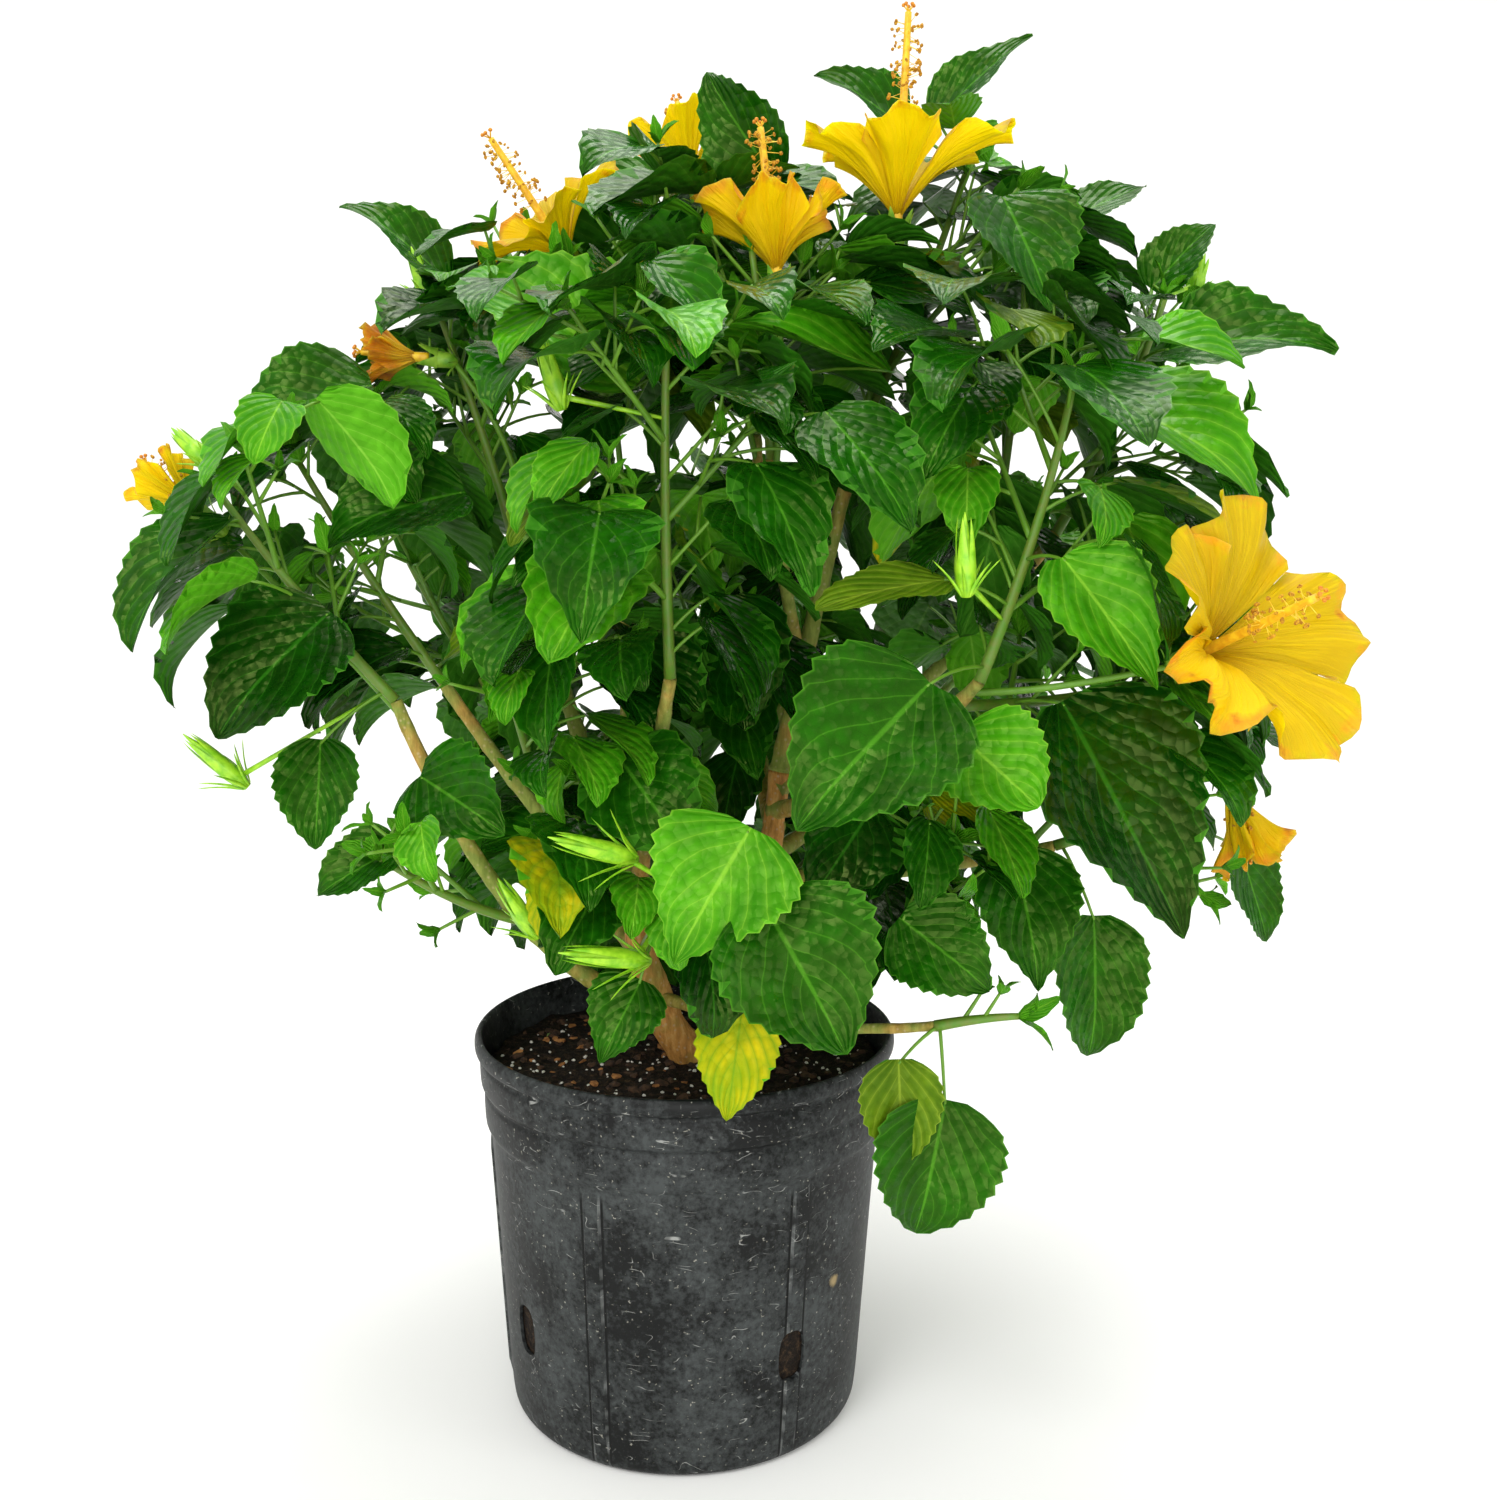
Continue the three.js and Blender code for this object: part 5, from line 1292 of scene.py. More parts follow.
# Grown bark: a dry corky skin that has split. It gives the eye tan ridges over darker cracks,
# pale breathing pores, and green showing through where `age` is low.
tan_bark, tree, shader = new_material("hibiscus_tan_bark", Roughness=0.78)
place = object_place(tree)
long_way = add(tree, "Mapping", {0: place, 3: (1.0, 1.0, 0.22)})
cracks = add(tree, "TexNoise", {"Vector": long_way, "Scale": 330.0, "Detail": 5.0,
                                          "Roughness": 0.65})
blotches = add(tree, "TexNoise", {"Vector": place, "Scale": 60.0, "Detail": 3.0})
tree.nodes.new("ShaderNodeAttribute").attribute_name = "age"
age = tree.nodes[-1].outputs["Fac"]
patchy = add(tree, "Math", {0: blotches, 1: 0.9, 2: age}, operation="MULTIPLY_ADD")
wood = add(tree, "ValToRGB", {0: cracks},
           stops=[(0.28, "#95622a"), (0.5, "#c98c40"), (0.72, "#e4b468")])
skin = add(tree, "ValToRGB", {0: cracks}, stops=[(0.3, "#6b7a24"), (0.6, "#8f9a40")])
grown = add(tree, "MapRange", {0: patchy, 1: 0.75, 2: 1.15})
colour = add(tree, "Mix", {0: grown, 6: skin, 7: wood}, data_type="RGBA")
pores = add(tree, "TexVoronoi", {"Vector": place, "Scale": 240.0})
dots = add(tree, "MapRange", {0: pores, 1: 0.1, 2: 0.28, 3: 0.5, 4: 0.0})
dotted = add(tree, "Mix", {0: dots, 6: colour, 7: "#cdb58d"}, data_type="RGBA")
finish_surface(tree, shader, dotted, cracks, 0.8, 0.8)

woody = Basket()
for stem in STEMS:
    add_limb(woody, limb_runs[stem["name"]], stem["flare"], 26, 0.7)
woody.piece("woody_stems", [tan_bark], "bark", [stem["name"] for stem in STEMS])
green_boughs = Basket()
for bough in BOUGHS:
    add_limb(green_boughs, limb_runs[bough["name"]], 1.35, 16, 0.32)
green_boughs.piece("young_boughs", [tan_bark], "green_bark", [bough["name"] for bough in BOUGHS])

# %% [markdown]
# ## Flowers
#
# Each flower has five petals set edge over edge in a spiral, each wider than its share of the
# circle, so they overlap into a funnel. They open like a trumpet: steep at the throat and almost
# flat at the rim, where they ruffle. Fine pleats run along them. A long column stands in the
# middle, with a brush of stamens near its end and five round pads at its tip. On a flower that
# has had its day the rims dry first, orange-brown and crumpled.

# %% Petal and column materials
def petal_material(name, body, throat, dry, drying):
    """Living petal: a few wet cells thick, so light comes through and it glows from within.

    The eye gets fine pleats along it, a darker throat, and brown blots where it has dried:
    `drying` is how far down from the rim, 0 to 1. The pleats are drawn coarser than the real ones.
    """
    material, tree, shader = new_material(name, Roughness=0.55, Specular_IOR_Level=0.15,
                                          Subsurface_Weight=0.5, Subsurface_Scale=0.004)
    shader.inputs["Subsurface Radius"].default_value = (1.0, 0.8, 0.08)
    uv = add(tree, "UVMap", uv_map="UVMap")
    parts = tree.nodes.new("ShaderNodeSeparateXYZ")
    tree.links.new(uv, parts.inputs[0])
    v = parts.outputs[1]
    deep = add(tree, "MapRange", {0: v, 1: 0.0, 2: 0.45, 3: 1.0, 4: 0.0},
               interpolation_type="SMOOTHSTEP")
    base = add(tree, "Mix", {0: deep, 6: body, 7: throat}, data_type="RGBA")
    along = add(tree, "Mapping", {0: uv, 3: (38.0, 2.5, 1.0)})
    pleats = add(tree, "TexNoise", {"Vector": along, "Scale": 1.0, "Detail": 2.0})
    pale = add(tree, "MapRange", {0: pleats, 1: 0.5, 2: 0.72, 3: 0.0, 4: 0.45})
    veined = add(tree, "Mix", {0: pale, 6: base, 7: "#eec400"}, data_type="RGBA")
    blots = add(tree, "TexNoise", {"Vector": object_place(tree), "Scale": 70.0, "Detail": 4.0})
    reach = add(tree, "Math", {0: blots, 1: 0.5, 2: v}, operation="MULTIPLY_ADD")
    dried = add(tree, "MapRange", {0: reach, 1: 1.27 - drying * 0.7, 2: 1.36 - drying * 0.55})
    tone = add(tree, "ValToRGB", {0: blots}, stops=[(0.35, dry), (0.6, "#e08a1a"), (0.75, dry)])
    final = add(tree, "Mix", {0: dried, 6: veined, 7: tone}, data_type="RGBA")
    finish_surface(tree, shader, final, pleats, 1.4, 0.9)
    return material


FRESH_PAINTED_SHADE, OUTER_PAINTED_LIGHT, WILTING, SPENT = range(4)
# Painted shade and painted light: a fresh petal's inside is a darker yellow than its outside, so
# that insides facing the lamps and outsides seen from below in shade come out alike.
PETAL_FINISHES = [
    petal_material("silky_petal_inside_painted_shade", "#c29e00", "#b08000", "#a0560e", 0.1),
    petal_material("silky_petal_outside_painted_light", "#f8c600", "#dca200", "#a0560e", 0.1),
    petal_material("wilting_petal", "#e4b400", "#d09400", "#9c5210", 0.22),
    petal_material("dried_petal", "#ecaa2a", "#cc7c1e", "#9a5420", 0.65),
]
# The column is waxy flesh; its threads are finer and paler, their pollen is a matt amber powder,
# the pads at the tip are a sticky orange, and the cup below is a young leaf's green, less glossy.
column_gold = drifting("stamen_column_gold", "#d9a010", "#f0c822", 260.0, 0.2, Roughness=0.5)
filament = drifting("filament_pale_gold", "#e0b420", "#f2d548", 300.0, 0.05, Roughness=0.5)
amber_pollen = drifting("pollen_amber", "#8f5a08", "#d09c18", 900.0, 0.2, Roughness=0.85)
stigma_pad = drifting("stigma_pad_orange", "#b8660e", "#e29a24", 900.0, 0.2, Roughness=0.7)
sepal_green = drifting("sepal_green", "#5d9a16", "#9cc83a", 150.0, 0.3, Roughness=0.5)
print("petal finishes:", ", ".join(material.name for material in PETAL_FINISHES))

# %% Petals
# Blender's vector noise starts from the clock unless it is given a seed.
noise.seed_set(7)

# Waves, frill and crumpling as shares of a petal's length, finish, how far one edge lies over the
# next in mm, and half the angle that a petal takes up in degrees.
STAGES = table(["name", "ruffle", "frill", "crumple", "finish", "overlap", "spread"], [
    ["open", 0.085, 0.016, 0.03, FRESH_PAINTED_SHADE, 3.2, 38],
    ["fading", 0.13, 0.03, 0.07, WILTING, 3.0, 40],
    ["spent", 0.1, 0.04, 0.12, SPENT, 1.5, 46],
])
STAGES = {row["name"]: row for row in STAGES}


def petal_grid(flower, index, stage, rows=18, columns=27):
    """A petal's middle surface, from its foot to its ruffled rim."""
    dice = Dice(round(flower["petal"] * 10) + index * 17)
    t = np.linspace(0.03, 1, rows)[:, None]
    a = np.linspace(-1, 1, columns)[None]
    phase, beats = dice.between([0, 6.28]), dice.between([5, 8])
    edge = dice.between([0.92, 1.04]) - 0.27 * abs(a) ** 2.4 + 0.022 * np.sin(a * 11 + phase)
    size = flower["petal"]
    turn = 72 * index + 36 + dice.between([-5, 5]) * t + stage["spread"] * a
    lift = (a * stage["overlap"] * t
            + size * stage["ruffle"] * t ** 2.4 * np.sin(a * beats + phase) * (0.35 + abs(a))
            + size * stage["frill"] * t ** 8 * np.sin(a * 19 + 2 * phase)
            + 0.55 * np.sin(a * 20) * np.sin(math.pi * t)
            + size * dice.between([-0.05, 0.05]) * t ** 2)
    out, up = petal_reach(flower, t * edge, lift)
    points = around_flower(flower, turn, np.maximum(out, 0.4), up)
    rough = size * stage["crumple"]
    for row in range(rows):
        for column in range(columns):
            at = Vector(points[row, column]) * 0.045 + Vector((index, 0, 0))
            points[row, column] += np.array(noise.noise_vector(at)) * rough * t[row, 0]
    return points


# %% Sepals
def add_leaflet(basket, leaf, half, cup=0.0):
    """A small plain blade. `half` is its half width at eight places along it, as a share."""
    along, across = np.linspace(0, 1, 8)[:, None], np.linspace(-1, 1, 4)
    grid = blade_points(leaf, along + 0 * across, half * across, cup * across ** 2 * half)
    add_sheet(basket, grid, 0.7, 0, 0)


def add_sepals(basket, flower):
    """The green cup under the petals: five pointed lobes, and a ring of narrow leaflets below."""
    aim, right, over, throat = flower_axes(flower)
    rise = np.linspace(0, 1, 8)
    scale = 0.75 + flower["petal"] / 340
    radii = scale * np.interp(rise, [0, 0.3, 1], [2.2, 5.4, 6.0])
    base = throat - aim * (CALYX_BELOW - 1)
    add_tube(basket, base + aim * (rise * 16 * scale)[:, None], radii, right, 15, 0)
    half = 0.5 * (1 - rise[:, None]) ** 0.8
    # Count, length, width, lean in degrees, and how far up and out each ring of lobes starts.
    for count, long, wide, lean, up, out in ((5, 15, 8.4, 12, 14, 6.0), (7, 12, 1.7, 48, 1, 2.4)):
        lean = math.radians(lean)
        for index in range(count):
            angle = math.radians(360 / count * index + 10)
            way = right * math.cos(angle) + over * math.sin(angle)
            foot = base + (aim * up + way * out) * scale
            set_off = aim * math.cos(lean) + way * math.sin(lean)
            face = aim * math.sin(lean) - way
            lobe = make_leaf(foot, set_off, face, long * scale, wide * scale, 0.4)
            add_leaflet(basket, lobe, half)


# %% Putting the flowers together
# The outer and inner side's material in the flower's own piece.
SIDES = {FRESH_PAINTED_SHADE: (OUTER_PAINTED_LIGHT, FRESH_PAINTED_SHADE), WILTING: (WILTING, WILTING), SPENT: (0, 0)}
PAD_TURN = 1.257  # radians between two of the five pads
petals, dried, sepals, columns = Basket(), Basket(), Basket(), Basket()
for flower in FLOWERS:
    basket = dried if flower["stage"] == "spent" else petals
    for index in range(5):
        # The petal that opened first is the first to wilt.
        stage = STAGES["fading" if flower["stage"] == "open" and index == 0 else flower["stage"]]
        outside, inside = SIDES[stage["finish"]]
        add_sheet(basket, petal_grid(flower, index, stage), 0.5, outside, inside)
    add_sepals(sepals, flower)
    aim, right, over, throat = flower_axes(flower)
    share = np.linspace(-0.04, 0.97, 22)
    bend = right * flower["column"] * 0.05
    line = throat + aim * (share * flower["column"])[:, None] + bend * (share ** 2)[:, None]
    flower["column_line"] = line
    add_tube(columns, line, np.interp(share, [0, 0.3, 1], [3.4, 2.6, 1.9]), over, 10, 0)
    for index in range(5):
        turn = PAD_TURN * index
        way = unit(aim * 1.3 + (right * math.cos(turn) + over * math.sin(turn)))
        tip = line[-1] + way * 5
        add_tube(columns, np.linspace(line[-1], tip, 3), [0.45, 0.4, 0.4], square_to(way), 4, 0)
        pad = tip + way * np.array([-1.0, -0.55, 0.2, 0.8, 1.1])[:, None]
        add_tube(columns, pad, [0.4, 1.0, 1.25, 0.8, 0.2], square_to(way), 8, 1)

shown = [flower["name"] for flower in FLOWERS if flower["stage"] != "spent"]
petals.piece("petals", PETAL_FINISHES[:3], "petals", shown)
dried.piece("dried_petals", PETAL_FINISHES[3:], "spent_petals", ["flower_spent"])
sepals.piece("sepals", [sepal_green], "foliage", shown)
columns.piece("flower_columns", [column_gold, stigma_pad], "petals", shown)

# %% [markdown]
# ## Stamens
#
# Some forty stamens stand out round the upper part of each column, each a fine thread with a
# kidney of pollen on its end. That is a shape that repeats over a surface, so Geometry Nodes make
# it: points are dealt over a sleeve round the column, and a stamen is set on each.

# %% Scattering on a surface
def socket_of(tree, name):
    """The identifier of a tree's input, which a modifier is set by."""
    return next(item.identifier for item in tree.interface.items_tree if item.name == name)


def new_geometry_tree(name, inputs):
    """An empty tree, its inputs by name (the mesh and what `inputs` lists) and its result."""
    tree = bpy.data.node_groups.new(name, "GeometryNodeTree")
    tree.interface.new_socket("Geometry", in_out="INPUT", socket_type="NodeSocketGeometry")
    tree.interface.new_socket("Geometry", in_out="OUTPUT", socket_type="NodeSocketGeometry")
    for label, kind, value in inputs:
        socket = tree.interface.new_socket(label, in_out="INPUT", socket_type=kind)
        if value is not None:
            socket.default_value = value
    given, result = tree.nodes.new("NodeGroupInput"), tree.nodes.new("NodeGroupOutput")
    return tree, {socket.name: socket for socket in given.outputs}, result.inputs[0]


def grown_on(base, tree, values):
    """The plain mesh that a tree makes on a base mesh, in a new object."""
    carrier = bpy.data.objects.new("carrier", base)
    bpy.context.scene.collection.objects.link(carrier)
    modifier = carrier.modifiers.new("grow", "NODES")
    modifier.node_group = tree
    for label, value in values.items():
        modifier[socket_of(tree, label)] = value
    bpy.context.view_layer.update()
    shape = carrier.evaluated_get(bpy.context.evaluated_depsgraph_get())
    mesh = bpy.data.meshes.new_from_object(shape)
    carrier.modifiers.clear()
    bpy.data.objects.remove(carrier)
    return mesh


def scattered(tree, given_by, thing, sizes, on_surface):
    """Real copies of a thing on a tree's mesh, each with its own size, and lean and turn."""
    points = tree.nodes.new("GeometryNodeDistributePointsOnFaces")
    for label, source in (("Mesh", "Geometry"), ("Density", "Density"), ("Seed", "Seed")):
        tree.links.new(given_by[source], points.inputs[label])
    size = add(tree, "FunctionNodeRandomValue",
               {2: sizes[0], 3: sizes[1], "Seed": given_by["Seed"]}, data_type="FLOAT")
    turn = add(tree, "FunctionNodeRandomValue",
               {0: (-0.5, -0.5, 0.0), 1: (0.5, 0.5, 6.28), "Seed": given_by["Seed"]},
               data_type="FLOAT_VECTOR")
    if on_surface:
        turn = add(tree, "FunctionNodeRotateRotation", {0: points.outputs["Rotation"], 1: turn},
                   rotation_space="LOCAL")
    placed = add(tree, "GeometryNodeInstanceOnPoints", {
        "Points": points.outputs["Points"], "Instance": thing, "Rotation": turn, "Scale": size})
    return add(tree, "GeometryNodeRealizeInstances", {"Geometry": placed})


# %% Stamens on their columns
tree, given_by, result = new_geometry_tree("stamens", [
    ("Thread length", "NodeSocketFloat", 0.0075), ("Density", "NodeSocketFloat", 210000.0),
    ("Anther size", "NodeSocketFloat", 0.0013), ("Seed", "NodeSocketInt", 3),
])
thread = add(tree, "GeometryNodeMeshCone", {
    "Vertices": 3, "Radius Top": 0.00016, "Radius Bottom": 0.00026,
    "Depth": given_by["Thread length"]})
thread = add(tree, "GeometryNodeSetMaterial", {"Geometry": thread, "Material": filament})
pollen = add(tree, "GeometryNodeMeshIcoSphere", {"Radius": given_by["Anther size"],
                                                 "Subdivisions": 1})
lifted = add(tree, "CombineXYZ", {"Z": given_by["Thread length"]})
pollen = add(tree, "GeometryNodeTransform", {"Geometry": pollen, "Translation": lifted,
                                             "Scale": (1.35, 0.8, 0.8)})
pollen = add(tree, "GeometryNodeSetMaterial", {"Geometry": pollen, "Material": amber_pollen})
join = tree.nodes.new("GeometryNodeJoinGeometry")
tree.links.new(thread, join.inputs[0])
tree.links.new(pollen, join.inputs[0])
tree.links.new(scattered(tree, given_by, join.outputs[0], (0.7, 1.2), True), result)

# The sleeves are open tubes round the upper half of each column.
UPPER_HALF, SLEEVE_RADIUS = slice(10, -1), 1.2
sleeves = Basket()
for flower in FLOWERS:
    if flower["stage"] != "spent":
        line = flower["column_line"][UPPER_HALF]
        add_tube(sleeves, line, np.full(len(line), SLEEVE_RADIUS), flower_axes(flower)[2], 8, 0)
walls = [face for face in sleeves.faces if len(face) == 4]
sleeve = mesh_of("sleeve", np.concatenate(sleeves.points), walls)
stamens = bpy.data.objects.new("stamens", grown_on(sleeve, tree, {"Seed": 5}))
finished(stamens, list(stamens.data.materials), shown)

# %% [markdown]
# ## Buds
#
# A bud is a pointed spindle of furled green sepals. A frill of narrow leaflets stands round its
# foot, which gives a hibiscus bud its spiky look.

# %% Buds on their stalks
# Young sepals: bright, a little waxy, with a pale bloom that the drift of tones stands for.
bud_lime = drifting("bud_sepal_lime", "#78bc10", "#a8dc2c", 180.0, 0.3, Roughness=0.45)
along = np.linspace(0, 1, 8)[:, None]
SEPAL_HALF = 0.5 * (1 - along) ** 0.75 * np.minimum(1, 0.45 + along * 3)
buds = Basket()
for mass in MASSES:
    for item in mass["buds"]:
        bud, aim = item["bud"], aim_on(item["bud"], 0)
        right = square_to(aim)
        over = np.cross(aim, right)
        rise = np.linspace(0, 1, 10)
        swell = np.interp(rise, [0, 0.15, 0.4, 0.7, 1], [2.6, 5.2, 5.8, 2.6, 0.3])
        ribs = 0.4 * np.cos(np.arange(10) * math.pi)[None] * np.sin(rise * math.pi)[:, None]
        spindle = bud["start"] + aim * (rise * (bud["length"] + 4))[:, None]
        add_tube(buds, spindle, swell, right, 10, 0, bumps=ribs)
        add_run(buds, item["stalk"], [1.0, 1.7], 7, 6, 0)
        # Five broad sepals cling to the spindle with free tips; seven thin leaflets stand off.
        for count, share, width, lean, up, curl in ((5, 0.98, 9.0, 0.16, 2.5, 0.3),
                                                    (7, 0.62, 2.6, 0.55, 0.5, -0.35)):
            for index in range(count):
                angle = 2 * math.pi / count * index + 0.2
                way = right * math.cos(angle) + over * math.sin(angle)
                foot = bud["start"] + way * 3.2 + aim * up
                leaflet = make_leaf(foot, unit(aim + way * lean), way - aim * lean,
                                    bud["length"] * share, width, curl)
                add_leaflet(buds, leaflet, SEPAL_HALF, -2.0)
with_buds = sorted({mass["name"] for mass in MASSES if mass["buds"]})
buds.piece("buds", [bud_lime], "foliage", with_buds)

# %% [markdown]
# ## The pot
#
# A nursery pot is blow-moulded from black polyethylene: hot plastic is blown against a mould, so
# every edge is soft. Its wall has six raised ribs, a stepped double band under a rolled lip, and
# four drain holes near its foot. The wall is one turned profile, rounded by cutting its corners
# twice, with the ribs pushed out and the holes cut by a Boolean.

# %% Pot profile and wall
# Out from the axis and up, from the middle of the underside over the lip to the floor inside.
PROFILE = [
    (0, 0), (96, 0), (104, 0), (108.6, 2.4), (110.5, 8), (113, 46), (116, 95), (119, 143),
    (121.3, 178), (121.7, 182), (124.4, 185), (125, 189), (125.5, 203), (124.2, 206),
    (124.4, 208), (127, 210), (127.6, 214), (128, 225), (126.6, 227.5), (126.8, 229.5),
    (129.8, 230.6), (131, 233), (130.9, 238), (129, 240.9), (126.8, 240.6), (125.8, 237),
    (124.6, 228), (122.6, 205), (121.4, 188), (119.7, 181), (114, 95), (108.7, 9), (104, 2), (0, 2),
]
RIB = {"count": 6, "first": 6, "half_width": 5, "proud": 1.7, "from": 12, "to": 178, "out": 117}
RIB_GAP = 360 / RIB["count"]  # degrees
DRAIN = {"count": 4, "first": -54.4, "width": 18, "height": 30, "level": 69, "sides": 28}


def rounded(points, rounds=2):
    """A profile with its corners cut, its two ends kept."""
    points = np.array(points, float)
    for _ in range(rounds):
        a, b = points[:-1], points[1:]
        cut = np.stack([a * 0.75 + b * 0.25, a * 0.25 + b * 0.75], 1).reshape(-1, 2)
        points = np.concatenate([points[:1], cut, points[-1:]])
    return points


def smooth_step(value, low, high):
    t = np.clip((value - low) / (high - low), 0, 1)
    return t * t * (3 - 2 * t)


def pot_angles():
    """Directions round the pot, closer together at the ribs' edges."""
    angles = list(np.arange(0, 360, 3.0))
    for index in range(RIB["count"]):
        middle = RIB["first"] + RIB_GAP * index
        angles += [middle + side * step
                   for side in (-1, 1) for step in (1.2, 1.8, 2.1, 2.4, 2.7, 3.2)]
    return np.unique(np.round(np.array(angles) % 360, 2))


def pot_wall():
    """The turned wall and floor, with the outer side pushed out at the ribs."""
    profile, angles = rounded(PROFILE), pot_angles()
    long = [profile[0]]
    for before, after in zip(profile[:-1], profile[1:]):
        pieces = max(1, int(np.linalg.norm(after - before) / 12))
        long += [before + (after - before) * k / pieces for k in range(1, pieces + 1)]
    out, level = np.array(long)[1:-1].T
    outer = np.arange(len(out)) < np.argmax(level)
    aside = (angles - RIB["first"] + RIB_GAP / 2) % RIB_GAP - RIB_GAP / 2
    half, foot, top = RIB["half_width"], RIB["from"], RIB["to"]
    across = 1 - smooth_step(abs(np.radians(aside)) * RIB["out"], half - 0.7, half + 0.5)
    up = smooth_step(level, foot, foot + 8) * (1 - smooth_step(level, top - 10, top))
    turn = np.radians(angles)
    # A hand-filled pot is never quite round.
    warp = 0.35 * np.sin(turn * 2 + 0.6)[None] * (level / POT["height"])[:, None]
    radius = out[:, None] + (up * outer)[:, None] * across[None] * RIB["proud"] + warp
    levels = np.repeat(level[:, None], len(turn), 1)
    rings = np.stack([radius * np.cos(turn), radius * np.sin(turn), levels], -1)
    grid, near, quads = ring_quads(len(out), len(turn))
    points = rings.reshape(-1, 3).tolist() + [[0, 0, 0], [0, 0, profile[-1][1]]]
    faces = quads[:, OUTWARD].tolist()
    faces += [[len(points) - 2, b, a] for a, b in zip(grid[0], near[0])]
    faces += [[len(points) - 1, a, b] for a, b in zip(grid[-1], near[-1])]
    return mesh_of("pot_wall", points, faces)


# %% Drain holes
def drain_cutters():
    """Plugs with the drain holes' shape, which widen outward to leave a dished edge."""
    basket = Basket()
    angle = 2 * math.pi * np.arange(DRAIN["sides"]) / DRAIN["sides"]
    squarish = (abs(np.cos(angle)) ** 3 + abs(np.sin(angle)) ** 3) ** (-1 / 3)
    for index in range(DRAIN["count"]):
        turn = math.radians(DRAIN["first"] + 360 / DRAIN["count"] * index)
        way = vec([math.cos(turn), math.sin(turn), 0])
        aside = vec([-math.sin(turn), math.cos(turn), 0])
        rings = []
        for out, swell in ((100, 1), (112.6, 1), (114.4, 1.03), (115.6, 1.12), (122, 1.3)):
            rings.append(way * out
                         + np.outer(np.cos(angle) * squarish * DRAIN["width"] / 2 * swell, aside)
                         + np.outer(np.sin(angle) * squarish * DRAIN["height"] / 2 * swell, UP)
                         + UP * DRAIN["level"])
        grid, _, quads = ring_quads(len(rings), DRAIN["sides"])
        ends = [tuple(grid[0][::-1]), tuple(grid[-1])]
        basket.add(np.array(rings), [tuple(quad) for quad in quads[:, OUTWARD]] + ends, 0)
    return mesh_of("drain_cutters", np.concatenate(basket.points), basket.faces)


pot = bpy.data.objects.new("pot_shell", pot_wall())
cutter = bpy.data.objects.new("drain_cutters", drain_cutters())
for item in (pot, cutter):
    bpy.context.scene.collection.objects.link(item)
holes = pot.modifiers.new("holes", "BOOLEAN")
holes.operation, holes.object, holes.solver = "DIFFERENCE", cutter, "EXACT"
bpy.context.view_layer.update()
cut = bpy.data.meshes.new_from_object(pot.evaluated_get(bpy.context.evaluated_depsgraph_get()))
pot.modifiers.clear()
pot.data = cut
bpy.data.objects.remove(cutter)
cut.shade_smooth()
cut.set_sharp_from_angle(angle=math.radians(45))
print("pot:", RIB["count"], "ribs and", DRAIN["count"], "drain holes")

# %% [markdown]
# Black polyethylene isn't truly black: it is a charcoal with a satin skin, and handling leaves
# fine pale scratches, scuffs on whatever stands proud, and dust from the nursery's ground. The
# ribs' edges also carry a painted highlight and a painted shadow line.

# %% Scuffed plastic
hdpe, tree, shader = new_material("blow_moulded_black_hdpe", IOR=1.5, Specular_IOR_Level=0.2)
place = object_place(tree)
# A grey film of dust in clouds of about 45 mm, broken up by 4 mm grains.
cloud = add(tree, "TexNoise", {"Vector": place, "Scale": 22.0, "Detail": 5.0, "Roughness": 0.62})
grain = add(tree, "TexNoise", {"Vector": place, "Scale": 260.0, "Detail": 3.0, "Roughness": 0.7})
mottle = add(tree, "Mix", {0: 0.42, 2: cloud, 3: grain}, data_type="FLOAT")
film = add(tree, "MapRange", {0: mottle, 1: 0.44, 2: 0.62, 3: 0.0, 4: 0.7})
dusty = add(tree, "Mix", {0: film, 6: "#0a0c0c", 7: "#484c4c"}, data_type="RGBA")
# Scratches are thin lines where one drifting value crosses its middle, kept only here and there.
flat = add(tree, "VectorMath", {0: place, 1: (1.0, 1.0, 2.6)}, operation="MULTIPLY")
drag = add(tree, "TexNoise", {"Vector": flat, "Scale": 40.0, "Detail": 1.0, "Distortion": 0.5})
off_line = add(tree, "Math", {0: drag, 1: 0.5, 2: 0.006}, operation="COMPARE")
bits = add(tree, "TexNoise", {"Vector": place, "Scale": 95.0, "Detail": 2.0})
where = add(tree, "MapRange", {0: bits, 1: 0.55, 2: 0.66, 3: 0.0, 4: 0.6})
scuffs = add(tree, "Math", {0: off_line, 1: where}, operation="MULTIPLY")
scuffed = add(tree, "Mix", {0: scuffs, 6: dusty, 7: "#a9aaa6"}, data_type="RGBA")
# Each rib's two edges are painted pale, partly as rubbed wear and partly as a painted highlight,
# with a painted shadow line just outside them.
spot = tree.nodes.new("ShaderNodeSeparateXYZ")
tree.links.new(place, spot.inputs[0])
bearing = add(tree, "Math", {0: spot.outputs[1], 1: spot.outputs[0]}, operation="ARCTAN2")
from_rib = add(tree, "Math", {0: bearing, 1: math.radians(RIB["first"])}, operation="SUBTRACT")
aside = add(tree, "Math", {0: from_rib, 1: math.pi / RIB["count"]}, operation="PINGPONG")
rib_edge = RIB["half_width"] / RIB["out"]
edge = add(tree, "Math", {0: aside, 1: rib_edge, 2: 0.0055}, operation="COMPARE")
# Where the painted shadow line lies, just outside each rib's edge.
foot = add(tree, "Math", {0: aside, 1: rib_edge + 1.4 / RIB["out"], 2: 0.007}, operation="COMPARE")
height = add(tree, "MapRange", {0: spot.outputs[2], 1: (RIB["to"] - 6) * MM,
                                          2: RIB["to"] * MM, 3: 1.0, 4: 0.0})
